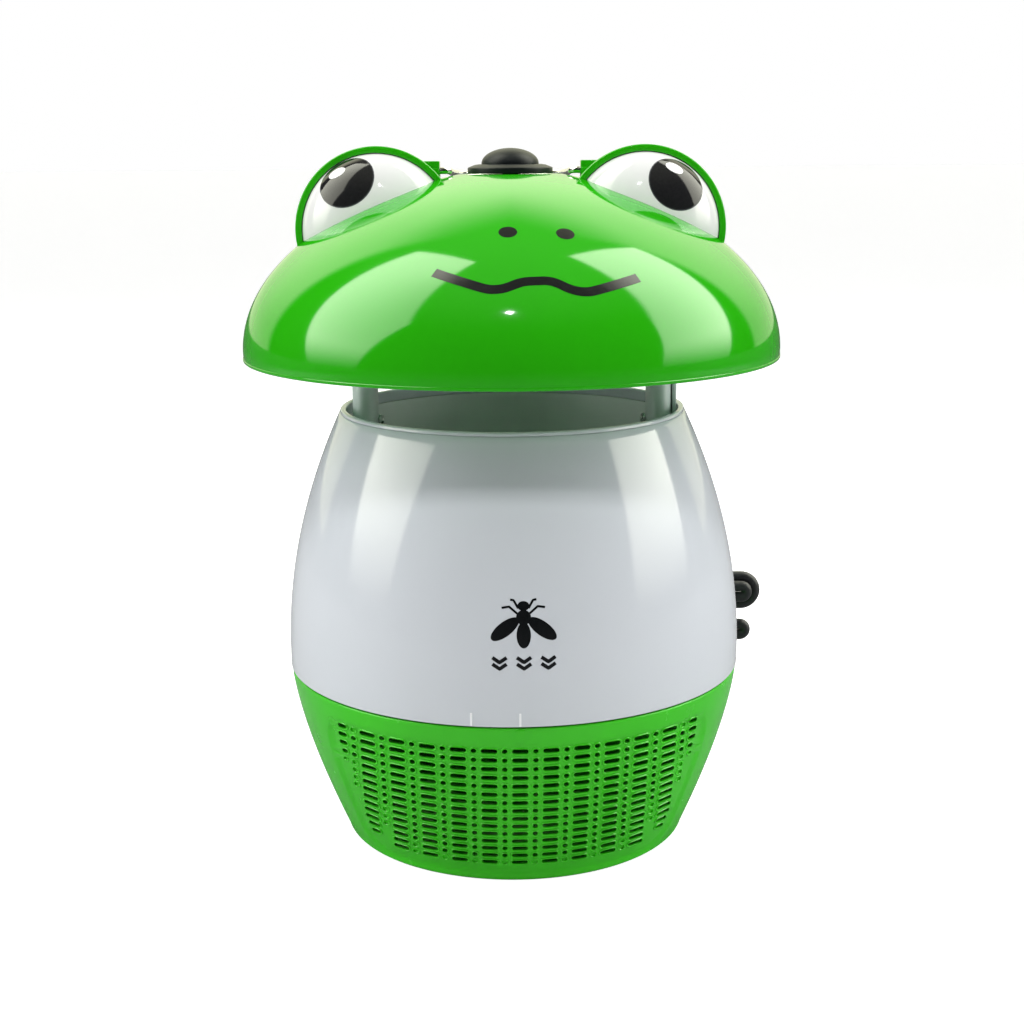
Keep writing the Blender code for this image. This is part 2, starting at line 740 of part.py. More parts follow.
def blade_sections(mesh, turn):
    """One twisted blade, from inside the hub to its tip."""
    spin = Matrix.Rotation(turn, 4, "Z")
    middle = (HUB_FOOT_Z + HUB_TOP_Z) / 2 - 0.4
    half_t = 0.75
    sections = []
    for part in (0.0, 0.33, 0.67, 1.0):
        radius = 10.5 + (BLADE_TIP_R - 10.5) * part
        pitch = math.radians(48 - 24 * part)
        half_chord = 7.0 + 5.5 * part
        along = Vector((0, math.cos(pitch), math.sin(pitch)))
        across = Vector((0, -math.sin(pitch), math.cos(pitch)))
        reach = math.sqrt(radius**2 - half_chord**2 * math.cos(pitch) ** 2) if part else radius
        centre = Vector((reach, 0, middle))
        section = []
        for a, b in ((-1, -1), (1, -1), (1, 1), (-1, 1)):
            section.append(mesh.verts.new(spin @ (centre + along * a * half_chord + across * b * half_t)))
        sections.append(section)
    mesh.faces.new(sections[0])
    mesh.faces.new(sections[-1])
    for first, second in zip(sections, sections[1:]):
        for i in range(4):
            j = (i + 1) % 4
            mesh.faces.new((first[i], first[j], second[j], second[i]))


def build_fan(pivot):
    bore = SHAFT_R + 0.3
    hub = [
        (0, HUB_TOP_Z),
        (9, HUB_TOP_Z - 0.6),
        (HUB_R, HUB_TOP_Z - 4),
        (HUB_R, HUB_FOOT_Z),
        (bore, HUB_FOOT_Z),
        (bore, HUB_TOP_Z - 4),
        (0, HUB_TOP_Z - 4),
    ]
    impeller = turned("fan_impeller", hub, BLACK, MEDIUM_SIDES, pivot=pivot)
    mesh = bmesh.new()
    for i in range(BLADE_COUNT):
        blade_sections(mesh, math.tau * i / BLADE_COUNT)
    fuse(impeller, add_object("fan_blades", mesh, BLACK))
    turned("motor_shaft", rod_outline(SHAFT_R, 101, 122), STEEL, SMALL_SIDES, pivot=pivot)


def build_motor():
    motor = [
        (0, MOTOR_FOOT_Z),
        (MOTOR_R - 1, MOTOR_FOOT_Z),
        (MOTOR_R, MOTOR_FOOT_Z + 1),
        (MOTOR_R, MOTOR_TOP_Z - 1),
        (MOTOR_R - 1, MOTOR_TOP_Z),
        (4, MOTOR_TOP_Z),
        (4, MOTOR_TOP_Z + 1.3),
        (SHAFT_R + 0.3, MOTOR_TOP_Z + 1.3),
        (SHAFT_R + 0.3, 100),
        (0, 100),
    ]
    turned("fan_motor", motor, MOTOR_STEEL, MEDIUM_SIDES)
    inner, outer = MOTOR_R + 0.5, MOTOR_R + 2.5
    cup = [(inner, MOUNT_FOOT_Z), (outer, MOUNT_FOOT_Z), (outer, MOUNT_TOP_Z), (inner, MOUNT_TOP_Z)]
    mount = turned("motor_mount", cup, GREY, MEDIUM_SIDES)
    rim_top = MOUNT_RIM_Z + MOUNT_RIM_T
    rim = [(MOUNT_RIM_IN_R, MOUNT_RIM_Z), (MOUNT_RIM_OUT_R, MOUNT_RIM_Z),
           (MOUNT_RIM_OUT_R, rim_top), (MOUNT_RIM_IN_R, rim_top)]
    fuse(mount, turned("mount_rim", rim, GREY))
    mesh = bmesh.new()
    for i in range(4):
        low, high = MOUNT_RIM_Z + 0.5, rim_top - 0.5
        corners = add_box(mesh, (outer - 1, -1.5, low), (MOUNT_RIM_IN_R + 0.9, 1.5, high))
        bmesh.ops.rotate(mesh, verts=corners, matrix=Matrix.Rotation(math.pi * (i / 2 + 0.25), 3, "Z"))
    fuse(mount, add_object("mount_arms", mesh, GREY))


def build_guard():
    """Finger guard over the fan: a hub, rings and spokes."""
    guard = turned("fan_guard", rod_outline(GUARD_HUB_R, GUARD_Z, GUARD_Z + GUARD_T), GREY, MEDIUM_SIDES)
    mesh = bmesh.new()
    for radius in (24.0, 39.0, GUARD_OUT_R):
        ring = [(radius - 1, GUARD_Z + 0.2), (radius + 1, GUARD_Z + 0.2),
                (radius + 1, GUARD_Z + 2.2), (radius - 1, GUARD_Z + 2.2)]
        turn_into(mesh, ring, MEDIUM_SIDES)
    fuse(guard, add_object("guard_rings", mesh, GREY))
    mesh = bmesh.new()
    for i in range(6):
        low = (GUARD_HUB_R - 2, -0.8, GUARD_Z + 0.4)
        corners = add_box(mesh, low, (GUARD_OUT_R, 0.8, GUARD_Z + 2.0))
        bmesh.ops.rotate(mesh, verts=corners, matrix=Matrix.Rotation(math.tau * i / 6, 3, "Z"))
    fuse(guard, add_object("guard_spokes", mesh, GREY))


def build_electrics():
    box("driver_board", (66.0, -20, 81.3), (67.6, 20, 108), BOARD_GREEN)
    box("transformer", (67.9, -17, 84), (80.5, -4, 97), AMBER, 0.6)
    turned(
        "capacitor",
        rod_outline(4.5, 67.9, 80.0),
        BLACK,
        16,
        Matrix.Translation((0, 9, 89)) @ Matrix.Rotation(math.pi / 2, 4, "Y"),
    )
    above_plate = PLATE_Z + PLATE_T + 2.5
    path = rounded_path(
        [
            (69.4, 0, 99),
            (69.4, 0, HARNESS_Z),
            (POST_X, 0, HARNESS_Z),
            (POST_X, 0, above_plate),
            (5, 0, above_plate),
            (5, 0, SWITCH_FOOT_Z - GAP),
        ],
        [2.2, 2.2, 2.2, 4.0],
        2,
    )
    sweep("wiring_harness", path, circle(1.1, 6), RUBBER)


def screw_outline(head_top, tip):
    """A pan-head screw that points up."""
    return [(0, head_top - 1.8), (2.6, head_top - 1.4), (3, head_top), (1.3, head_top), (1.3, tip), (0, tip)]


def build_screws():
    for i, place in enumerate(CAP_SCREW_PLACES):
        x, y = place
        head_top = PLATE_Z - GAP
        turned(f"cap_screw_{i + 1}", screw_outline(head_top, PLATE_Z + 12), STEEL, SMALL_SIDES,
               Matrix.Translation((x, y, 0)))
    for i, place in enumerate(BASE_SCREW_PLACES):
        x, y = place
        head_top = DECK_Z - GAP
        turned(f"base_screw_{i + 1}", screw_outline(head_top, 86), STEEL, SMALL_SIDES,
               Matrix.Translation((x, y, 0)))


def build_cord():
    out = Matrix.Translation((0, 0, CORD_EXIT_Z)) @ Matrix.Rotation(-math.pi / 2, 4, "X")
    bush = [(2.8, 83.6), (5.4, 83.6), (5.4, 85.4), (4.1, 85.4), (4.1, 89.2), (6.6, 89.2),
            (6.2, 91.0), (4.2, 92.6), (2.8, 92.6)]
    turned("cord_grommet", bush, RUBBER, SMALL_SIDES, out)
    near, far, low = 97.0, 102.4, PLUG_Y
    corners = [
        ((0, 79, CORD_EXIT_Z), 0),
        ((0, near + 2, CORD_EXIT_Z), 6.0),
        ((-48, near + 2, CORD_EXIT_Z), 9.0),
        ((-48, near, 68.9), 6.0),
        ((107.0, near, 68.9), 2.9),
        ((107.0, near, 63.1), 2.9),
        ((-40, near, 63.1), 2.7),
        ((-40, far, 63.1), 2.6),
        ((-40, far, 72.5), 4.6),
        ((112.3, far, 72.5), 6.5),
        ((112.3, far, 59.5), 6.5),
        ((-30, far, 59.5), 4.5),
        ((-30, low, PLUG_Z + 5.8), 4.5),
        ((108.3, low, PLUG_Z + 5.8), 2.9),
        ((108.3, low, PLUG_Z), 2.9),
        ((-44, low, PLUG_Z), 0),
    ]
    path = rounded_path([c[0] for c in corners], [c[1] for c in corners[1:-1]], 3)
    sweep("power_cord", path, circle(CORD_R, 8), RUBBER)

    low = (PLUG_TIP_X, PLUG_Y - PLUG_HALF_Y, PLUG_Z - PLUG_HALF_Z)
    plug = box("plug_body", low, (PLUG_TAIL_X, PLUG_Y + PLUG_HALF_Y, PLUG_Z + PLUG_HALF_Z), RUBBER, 2.0)
    neck = turned(
        "plug_neck",
        [(4.4, -48), (3.6, -40), (2.8, -40), (2.8, -48)],
        RUBBER,
        16,
        Matrix.Translation((0, PLUG_Y, PLUG_Z)) @ Matrix.Rotation(math.pi / 2, 4, "Y"),
    )
    fuse(plug, neck)
    cut(plug, turned("plug_socket", rod_outline(2.8, -50, -30), RUBBER, 16,
                     Matrix.Translation((0, PLUG_Y, PLUG_Z)) @ Matrix.Rotation(math.pi / 2, 4, "Y")))
    for name, z in (("upper", PLUG_Z + PIN_PITCH_HALF), ("lower", PLUG_Z - PIN_PITCH_HALF)):
        root = PLUG_TIP_X - GAP
        pin = [(0, PIN_TIP_X), (1.4, PIN_TIP_X + 0.6), (2.0, PIN_TIP_X + 1.6), (2.0, root), (0, root)]
        turned(f"plug_pin_{name}", pin, CHROME, SMALL_SIDES,
               Matrix.Translation((0, PLUG_Y, z)) @ Matrix.Rotation(math.pi / 2, 4, "Y"))

    half_t = 0.6
    ys = (near - CORD_R - 1.0, far + CORD_R + 1.0)
    zs = (PLUG_Z - CORD_R - 1.0, 72.5 + CORD_R + 1.0)
    corners = [(60, 0), (zs[0], 0), (zs[0], 1), (zs[1], 1), (zs[1], 0), (60, 0)]
    band = rounded_path([(TIE_X, ys[k], z) for z, k in corners], [3.0] * 4, 3)[:-1]
    section = [(-2, -half_t), (2, -half_t), (2, half_t), (-2, half_t)]
    sweep("cord_tie", band, section, BLACK, closed=True)


def build_all():
    clear_scene()
    basket_axis = add_pivot("basket_axis", 0)
    fan_axis = add_pivot("fan_axis", 118)
    button_axis = add_pivot("button_axis", BUTTON_FOOT_Z)
    bail_axis = add_pivot("bail_axis", BAIL_Z)
    build_main_shell()
    screw_holes = build_throat()
    build_base_ring(screw_holes)
    build_basket(basket_axis)
    build_cap()
    build_lamps()
    build_posts()
    build_eyes()
    build_bail(bail_axis)
    build_switch(button_axis)
    build_motor()
    build_fan(fan_axis)
    build_guard()
    build_electrics()
    build_screws()
    build_cord()


build_all()
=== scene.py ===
"""Looks of the frog-shaped insect trap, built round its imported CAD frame.

Lengths are in millimetres until piece() turns them into metres. Front is -Y and +Z is up. The
azimuth of a point is its angle about Z in degrees, 0 at the front and positive towards +X.
"""

import math

import bmesh
import bpy
from mathutils import Matrix, Vector


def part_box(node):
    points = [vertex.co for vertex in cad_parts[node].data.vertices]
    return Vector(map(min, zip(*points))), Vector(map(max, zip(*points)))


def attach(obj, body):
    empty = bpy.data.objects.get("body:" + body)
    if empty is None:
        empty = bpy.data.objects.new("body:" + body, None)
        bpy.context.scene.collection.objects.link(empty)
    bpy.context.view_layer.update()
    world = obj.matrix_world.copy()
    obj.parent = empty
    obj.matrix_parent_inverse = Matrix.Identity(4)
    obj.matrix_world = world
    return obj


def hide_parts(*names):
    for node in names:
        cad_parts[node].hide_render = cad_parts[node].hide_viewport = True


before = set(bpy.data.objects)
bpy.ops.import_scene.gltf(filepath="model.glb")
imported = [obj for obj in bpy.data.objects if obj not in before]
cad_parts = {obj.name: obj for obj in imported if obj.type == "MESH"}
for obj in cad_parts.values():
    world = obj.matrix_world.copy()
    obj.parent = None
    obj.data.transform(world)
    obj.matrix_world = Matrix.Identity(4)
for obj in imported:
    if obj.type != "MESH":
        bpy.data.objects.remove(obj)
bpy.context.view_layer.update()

MM = 0.001
FINE_SIDES = 160
SIDES = 96
SMALL_SIDES = 40
ROD_SIDES = 24

# Ends of a rod: (distance from the end, size of the section), both in radii
ROUNDED_END = ((0.0, 0.6), (0.12, 0.88), (0.4, 1.0))

# How far a print or pad reaches into the surface below it
FILM_SINK = 0.25


def span(node):
    """Lowest and highest corner of a CAD node, in millimetres."""
    low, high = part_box(node)
    return low / MM, high / MM


def middle(node):
    low, high = span(node)
    return (low + high) / 2


# White shell: a barrel of radius SHELL_R at SHELL_WIDEST_Z that narrows by a parabola
SHELL_R = 89.5
SHELL_WIDEST_Z = 75.0
SHELL_CURVE = 0.00255
SHELL_WALL = 2.2
SHELL_FOOT_Z = span("main_shell")[0].z
SHELL_TOP_Z = span("main_shell")[1].z + 1.5
RING_TOP_Z = span("intake_ring")[1].z
THROAT_R = 64.8
CORD_EXIT_Z = middle("cord_grommet").z

# Cap: a superellipse turned about Z
CAP_R = span("cap_shell")[1].x
CAP_FOOT_Z = span("cap_shell")[0].z
CAP_TOP_Z = span("cap_shell")[1].z
CAP_Z = 192.5
CAP_H = 67.45
CAP_POWER_R = 1.736
CAP_POWER_Z = 2.028
CAP_WALL = 2.2
SEAT_R = 19.4

# Basket: its radius falls from the seam to the foot by a power of the drop
BASKET_SEAM_Z = 67.7
BASKET_TOP_R = 89.1
BASKET_FOOT_R = 67.7
BASKET_POWER = 1.4
BASKET_WALL = 2.2
NECK_TOP_Z = span("catch_basket")[1].z
NECK_R = 82.3
FOOT_BEND = 2.0

# Azimuths, counter-clockwise from +X, of the basket's lugs and the ledges they rest on
QUARTERS = (45, 135, 225, 315)

# Grille in the basket, cut straight from front to back; the whole grille is turned a little
GRILLE_TURN = 1.3
UNLOCKED_TURN = -9.8
GRILLE_HALF = 55.8
GRILLE_TOP_Z = 60.4
GRILLE_FOOT_Z = 2.2
GRILLE_CORNER = 12.0
GRILLE_DEPTH = 0.9
GRILLE_BLEND = 1.9
COLUMN_PITCH = 11.1
COLUMNS = 6
SLOT_HALF_W = 2.9
SLOT_HALF_H = 0.95
SLOT_END_DEG = 51.0
HOLE_R = 0.93
HOLE_CELL_HALF = 1.8
DIMPLE_R = 0.6
ROWS = 15
FIRST_ROW_Z = 58.4
ROW_PITCH_TOP = 3.74
ROW_PITCH_FOOT = 3.3

# Eyes: half ovals turned about an axis along Y
RIM_R = 30.9
EYE_X = span("eye_socket_right")[1].x - RIM_R
EYE_Z = 237.9
EYE_R = 28.2
EYE_BASE = 8.5
EYE_DEPTH = 18.5
RIM_FRONT = 10.5
POD_BASE = 8.0
POD_DEPTH = 25.0
POD_WALL = 2.5

# Lugs at the inner ends of the eyes, and the wire bail that turns in them about X
LUG_IN_X = 26.7
LUG_OUT_X = LUG_IN_X + 6.8
LUG_HALF_Y = 4.0
LUG_FOOT_Z = 249.5
LUG_TOP_Z = 263.1
BAIL_Z = 259.5
BAIL_R = 1.3


# ---------------- shapes


class Shape:
    """Points in millimetres and the faces between them."""

    def __init__(self):
        self.points = []
        self.faces = []

    def point(self, x, y, z):
        self.points.append((x, y, z))
        return len(self.points) - 1

    def loop(self, points):
        return [self.point(*p) for p in points]

    def face(self, corners):
        corners = list(dict.fromkeys(corners))
        if len(corners) > 2:
            self.faces.append(corners)

    def band(self, first, second, closed=True):
        count = len(first)
        for i in range(count if closed else count - 1):
            j = (i + 1) % count
            self.face((first[i], first[j], second[j], second[i]))

    def loft(self, rings):
        """Walls from ring to ring, and a lid on both ends."""
        for first, second in zip(rings, rings[1:]):
            self.band(first, second)
        self.face(rings[0])
        self.face(rings[-1])

    def place(self, matrix, start=0):
        for i in range(start, len(self.points)):
            self.points[i] = tuple(matrix @ Vector(self.points[i]))


def spaced(start, end, count):
    return [start + (end - start) * i / (count - 1) for i in range(count)]


def full_turn(sides):
    return [math.tau * i / sides for i in range(sides)]


def smooth_step(low, high, value):
    t = min(max((value - low) / (high - low), 0.0), 1.0)
    return t * t * (3 - 2 * t)


def fillet(before, corner, after, radius, steps):
    """Arc points that round the corner of a path."""
    before, corner, after = Vector(before), Vector(corner), Vector(after)
    back = (before - corner).normalized()
    ahead = (after - corner).normalized()
    half = back.angle(ahead) / 2
    reach = radius / math.tan(half)
    centre = corner + (back + ahead).normalized() * (radius / math.sin(half))
    start = corner + back * reach - centre
    end = corner + ahead * reach - centre
    full = start.angle(end)
    points = []
    for t in spaced(0.0, 1.0, steps + 1):
        arm = (start * math.sin((1 - t) * full) + end * math.sin(t * full)) / math.sin(full)
        points.append(centre + arm)
    return points


def outline(corners, steps=5):
    """A closed outline of (r, z) corners, where (r, z, fillet) is rounded."""
    points = []
    for i, corner in enumerate(corners):
        if len(corner) < 3:
            points.append(corner)
            continue
        before, after = corners[i - 1], corners[(i + 1) % len(corners)]
        arc = fillet(before[:2], corner[:2], after[:2], corner[2], steps)
        points.extend(tuple(p) for p in arc)
    return points


def rounded_path(points, radii, steps=8):
    """An open path whose inner corners are arcs."""
    path = [Vector(points[0])]
    for i, radius in enumerate(radii):
        path.extend(fillet(points[i], points[i + 1], points[i + 2], radius, steps))
    path.append(Vector(points[-1]))
    kept = [path[0]]
    for point in path[1:]:
        if (point - kept[-1]).length > 0.05:
            kept.append(point)
    return kept


def turn_into(shape, profile, sides=SIDES, matrix=None):
    """Revolves a closed (r, z) profile about Z; a radius of 0 is a pole."""
    start = len(shape.points)
    rings = []
    for radius, height in profile:
        if radius < 1e-6:
            rings.append([shape.point(0, 0, height)] * sides)
            continue
        circle = [(radius * math.sin(t), -radius * math.cos(t), height) for t in full_turn(sides)]
        rings.append(shape.loop(circle))
    for lower, upper in zip(rings, rings[1:] + rings[:1]):
        shape.band(lower, upper)
    if matrix:
        shape.place(matrix, start)
    return shape


def turned(profile, sides=SIDES, matrix=None):
    return turn_into(Shape(), profile, sides, matrix)


def pointed(axis, z, side=1):
    """Lays local Z along X or Y at a height; a side of -1 turns it the other way."""
    if axis == "X":
        return Matrix.Translation((0, 0, z)) @ Matrix.Rotation(side * math.pi / 2, 4, "Y")
    return Matrix.Translation((0, 0, z)) @ Matrix.Rotation(-side * math.pi / 2, 4, "X")


def direction(path, i):
    """Unit vector along a path at its point i."""
    return (path[min(i + 1, len(path) - 1)] - path[max(i - 1, 0)]).normalized()


def sweep_into(shape, path, radius):
    """A round rod along a path, without twist, with softly rounded ends."""
    stations = []
    for i, point in enumerate(path):
        along = direction(path, i)
        if i == 0:
            stations += [(point + along * (inset * radius), along, size) for inset, size in ROUNDED_END]
        elif i == len(path) - 1:
            stations += [(point - along * (inset * radius), along, size)
                         for inset, size in reversed(ROUNDED_END)]
        else:
            stations.append((point, along, 1.0))
    rings = []
    up = stations[0][1].orthogonal().normalized()
    for point, along, size in stations:
        up = (up - along * up.dot(along)).normalized()
        side = along.cross(up)
        arms = [side * math.cos(t) + up * math.sin(t) for t in full_turn(ROD_SIDES)]
        rings.append(shape.loop(point + arm * radius * size for arm in arms))
    shape.loft(rings)
    return shape


def block_into(shape, low, high, bevel=0.6):
    """A box with all its edges chamfered."""
    low, high = Vector(low), Vector(high)
    mesh = bmesh.new()
    corners = bmesh.ops.create_cube(mesh, size=1.0)["verts"]
    bmesh.ops.scale(mesh, vec=high - low, verts=corners)
    bmesh.ops.translate(mesh, vec=(high + low) / 2, verts=corners)
    bmesh.ops.bevel(mesh, geom=mesh.edges[:], offset=bevel, segments=3, profile=0.5, affect="EDGES")
    start = len(shape.points)
    shape.points.extend(tuple(v.co) for v in mesh.verts)
    shape.faces.extend([start + v.index for v in f.verts] for f in mesh.faces)
    mesh.free()
    return shape


def made_object(name, shape):
    """A bare object from a shape, in metres."""
    data = bpy.data.meshes.new(name)
    data.from_pydata([Vector(p) * MM for p in shape.points], [], shape.faces)
    mesh = bmesh.new()
    mesh.from_mesh(data)
    bmesh.ops.remove_doubles(mesh, verts=mesh.verts, dist=1e-7)
    bmesh.ops.recalc_face_normals(mesh, faces=mesh.faces)
    mesh.to_mesh(data)
    mesh.free()
    made = bpy.data.objects.new(name, data)
    bpy.context.scene.collection.objects.link(made)
    return made


def finish_piece(made, look, stands_for=(), body="housing", sharp=38):
    """Gives an object its look and shading and hangs it on its CAD body."""
    made.data.materials.append(look)
    made.data.shade_smooth()
    made.data.set_sharp_from_angle(angle=math.radians(sharp))
    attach(made, body)
    if stands_for:
        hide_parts(*stands_for)


def piece(name, shape, look, stands_for=(), body="housing", sharp=38):
    finish_piece(made_object(name, shape), look, stands_for, body, sharp)


def combine(target, shape, operation):
    """Joins a shape to an object or cuts it out, with an exact Boolean."""
    helper = made_object("helper", shape)
    modifier = target.modifiers.new("boolean", "BOOLEAN")
    modifier.operation = operation
    modifier.solver = "EXACT"
    modifier.object = helper
    bpy.context.view_layer.update()
    graph = bpy.context.evaluated_depsgraph_get()
    result = bpy.data.meshes.new_from_object(target.evaluated_get(graph))
    target.modifiers.clear()
    target.data = result
    bpy.data.objects.remove(helper)


# ---------------- materials


class Nodes:
    """Adds nodes to a tree. An input is a number, a colour or the output of another node."""

    def __init__(self, tree):
        self.tree = tree

    def feed(self, socket, value):
        if isinstance(value, bpy.types.NodeSocket):
            self.tree.links.new(value, socket)
        else:
            socket.default_value = value

    def add(self, kind, output, inputs=(), **settings):
        """Adds a node with its inputs by name or in order, and gives back one of its outputs."""
        node = self.tree.nodes.new("ShaderNode" + kind)
        for name, value in settings.items():
            setattr(node, name, value)
        for key, value in inputs.items() if isinstance(inputs, dict) else enumerate(inputs):
            self.feed(node.inputs[key], value)
        return node.outputs[output]

    def do(self, operation, *values):
        return self.add("Math", "Value", values, operation=operation)

    def ease(self, value, start, end, low, high):
        """Smooth step of a value from low to high."""
        inputs = {"Value": value, "From Min": start, "From Max": end, "To Min": low, "To Max": high}
        return self.add("MapRange", "Result", inputs, interpolation_type="SMOOTHSTEP")

    def glow(self, tint, strength):
        return self.add("Background", "Background", (colour(tint), strength))

    def window(self, along, up, corners):
        """1 inside a many-sided opening in a side wall, with an edge blur for each edge."""
        inside = None
        for (y, z, blur), (next_y, next_z, _) in zip(corners, corners[1:] + corners[:1]):
            length = math.hypot(next_y - y, next_z - z)
            across_y, across_z = (z - next_z) / length / blur, (next_y - y) / length / blur
            shift = -(across_y * y + across_z * z)
            edge = self.do("MULTIPLY_ADD", along, across_y, self.do("MULTIPLY_ADD", up, across_z, shift))
            inside = self.do("MINIMUM", inside, edge) if inside else edge
        return self.ease(inside, 0.0, 1.0, 0.0, 1.0)


class Look(Nodes):
    """Nodes of one material."""

    def __init__(self, name):
        self.material = bpy.data.materials.new(name)
        self.material.use_nodes = True
        super().__init__(self.material.node_tree)
        self.shader = self.tree.nodes["Principled BSDF"]
        self.place = self.add("TexCoord", "Object")

    def noise(self, scale, detail=3.0, roughness=0.5, stretch=None):
        place = self.place
        if stretch:
            place = self.add("Mapping", "Vector", {"Scale": stretch, "Vector": place})
        inputs = {"Scale": scale, "Detail": detail, "Roughness": roughness, "Vector": place}
        return self.add("TexNoise", "Fac", inputs)

    def ramp(self, value, low, high):
        """Spreads a noise value between two colours or two numbers."""
        spread = self.add("ValToRGB", "Color", (value,))
        for stop, position, tint in zip(spread.node.color_ramp.elements, (0.3, 0.7), (low, high)):
            stop.position = position
            stop.color = colour(tint)
        return spread

    def set(self, name, value):
        self.feed(self.shader.inputs[name], value)

    def vary(self, name, value, base, low, high):
        """Sets an input to a colour or number that a noise value scales between two factors."""
        self.set(name, self.ramp(value, shade(base, low), shade(base, high)))

    def bump(self, value, distance, after=None):
        """Raises the surface by a value, over an earlier bump if one is given."""
        inputs = {"Distance": distance * MM, "Height": value}
        if after:
            inputs["Normal"] = after
        bumped = self.add("Bump", "Normal", inputs)
        self.set("Normal", bumped)
        return bumped


def colour(value):
    if isinstance(value, (int, float)):
        return (value, value, value, 1.0)
    return (*value, 1.0)


def shade(value, factor):
    return value * factor if isinstance(value, float) else tuple(part * factor for part in value)


def moulded(name, base, gloss, vary=0.05, grain=0.0, grain_scale=2200.0, sheen=0.5):
    """Moulded plastic: slight flow mottling, uneven gloss, faint waviness and a fine grain."""
    look = Look(name)
    look.vary("Base Color", look.noise(22.0, 4.0, stretch=(1.0, 1.0, 0.45)), base, 1 - vary, 1 + vary)
    look.vary("Roughness", look.noise(60.0, 5.0, 0.62), gloss, 0.86, 1.18)
    look.set("IOR", 1.49)
    look.set("Specular IOR Level", sheen)
    wave = look.bump(look.noise(34.0, 1.0), 0.02)
    if grain:
        look.bump(look.noise(grain_scale, 2.0, 0.6), grain, after=wave)
    return look.material


def printed_ink(name, base, gloss):
    """Pad-printed ink: even colour with fine speckle and a slightly uneven film."""
    look = Look(name)
    look.vary("Base Color", look.noise(900.0, 4.0, 0.7), base, 0.85, 1.25)
    look.vary("Roughness", look.noise(240.0), gloss, 0.85, 1.2)
    look.set("Specular IOR Level", 0.35)
    look.bump(look.noise(500.0, 3.0), 0.006)
    return look.material


def worked_metal(name, base, gloss, stretch=None, depth=0.01):
    """Plated or turned metal with fine drawn lines along one direction."""
    look = Look(name)
    lines = look.noise(420.0, 4.0, 0.6, stretch)
    look.vary("Base Color", lines, base, 0.88, 1.05)
    look.set("Metallic", 1.0)
    look.vary("Roughness", lines, gloss, 0.7, 1.4)
    look.bump(lines, depth)
    return look.material


def rubber(name, base, gloss):
    """Black flex and plug rubber with a powdery surface."""
    look = Look(name)
    bloom = look.noise(45.0, 6.0, 0.7)
    look.vary("Base Color", bloom, base, 0.8, 1.7)
    look.vary("Roughness", bloom, gloss, 1.0, 1.3)
    look.bump(look.noise(1500.0, 2.0), 0.02)
    return look.material


def clear_plastic(name, tint, gloss):
    look = Look(name)
    look.vary("Base Color", look.noise(30.0), tint, 0.97, 1.0)
    look.set("Transmission Weight", 0.9)
    look.vary("Roughness", look.noise(80.0), gloss, 1.0, 2.0)
    look.set("IOR", 1.47)
    look.bump(look.noise(60.0, 1.0), 0.02)
    return look.material


def circuit_board(name):
    """Green solder mask with copper tracks that show through."""
    look = Look(name)
    tints = {"Color1": (0.008, 0.10, 0.035), "Color2": (0.012, 0.14, 0.05), "Mortar": (0.03, 0.22, 0.07)}
    inputs = {key: colour(tint) for key, tint in tints.items()}
    tracks = look.add("TexBrick", "Color", {"Scale": 160.0, "Vector": look.place, **inputs})
    look.set("Base Color", tracks)
    look.set("Roughness", look.ramp(look.noise(90.0), 0.3, 0.5))
    look.bump(tracks.node.outputs["Fac"], 0.03)
    return look.material


def wound_tape(name):
    """Amber transformer tape in wound layers."""
    look = Look(name)
    inputs = {"Scale": 260.0, "Distortion": 0.6, "Vector": look.place}
    wraps = look.add("TexWave", "Fac", inputs, bands_direction="Z")
    look.set("Base Color", look.ramp(wraps, (0.45, 0.2, 0.015), (0.62, 0.34, 0.04)))
    look.set("Roughness", look.ramp(look.noise(120.0), 0.25, 0.45))
    look.bump(wraps, 0.05)
    return look.material


CAP_GREEN = moulded("cap_green_gloss", (0.020, 0.38, 0.004), 0.07, vary=0.03)
PLATE_GREEN = moulded("plate_pale_green", (0.30, 0.56, 0.33), 0.34, vary=0.03, grain=0.015)
BASKET_GREEN = moulded("basket_green_satin", (0.048, 0.55, 0.014), 0.24, grain=0.010, sheen=0.4)
WHITE = moulded("shell_white_gloss", (0.635, 0.665, 0.70), 0.09, vary=0.012)
# The ticks get a whiter material than the shell: a painted highlight that stands for the light their raised
# edges catch
MARK_PAINTED_HIGHLIGHT = moulded("mark_painted_highlight", (0.92, 0.93, 0.94), 0.16, vary=0.012)
EYE_WHITE = moulded("eye_white_gloss", (0.75, 0.75, 0.73), 0.08, vary=0.012)
DUCT_GREY = moulded("duct_grey_satin", (0.74, 0.78, 0.75), 0.42, grain=0.02)
POST_GREY = moulded("post_grey_satin", (0.66, 0.74, 0.72), 0.36, grain=0.015)
BLACK = moulded("black_moulded", (0.006, 0.008, 0.009), 0.40, grain=0.03, grain_scale=1500.0, sheen=0.22)
CORD_BLACK = rubber("cord_rubber", (0.010, 0.011, 0.013), 0.42)
INK = printed_ink("black_print", (0.005, 0.006, 0.007), 0.22)
GLOSS_INK = printed_ink("pupil_print", (0.012, 0.012, 0.013), 0.07)
OUTLINE_INK = printed_ink("pupil_edge_print", (0.06, 0.062, 0.066), 0.2)
WHITE_INK = printed_ink("white_print", (0.82, 0.82, 0.81), 0.12)
CHROME = worked_metal("chrome_plating", (0.80, 0.80, 0.82), 0.10, depth=0.004)
STEEL = worked_metal("screw_zinc", (0.58, 0.58, 0.60), 0.28)
MOTOR_STEEL = worked_metal("motor_can", (0.42, 0.43, 0.45), 0.34, stretch=(1.0, 1.0, 14.0))
LAMP = clear_plastic("lamp_violet", (0.62, 0.55, 0.95), 0.04)
CLEAR = clear_plastic("lamp_cover_clear", (0.93, 0.95, 0.97), 0.06)
BOARD = circuit_board("solder_mask")
TAPE = wound_tape("amber_tape")


# ---------------- surfaces that carry prints


def shell_radius(z):
    return SHELL_R - SHELL_CURVE * (z - SHELL_WIDEST_Z) ** 2


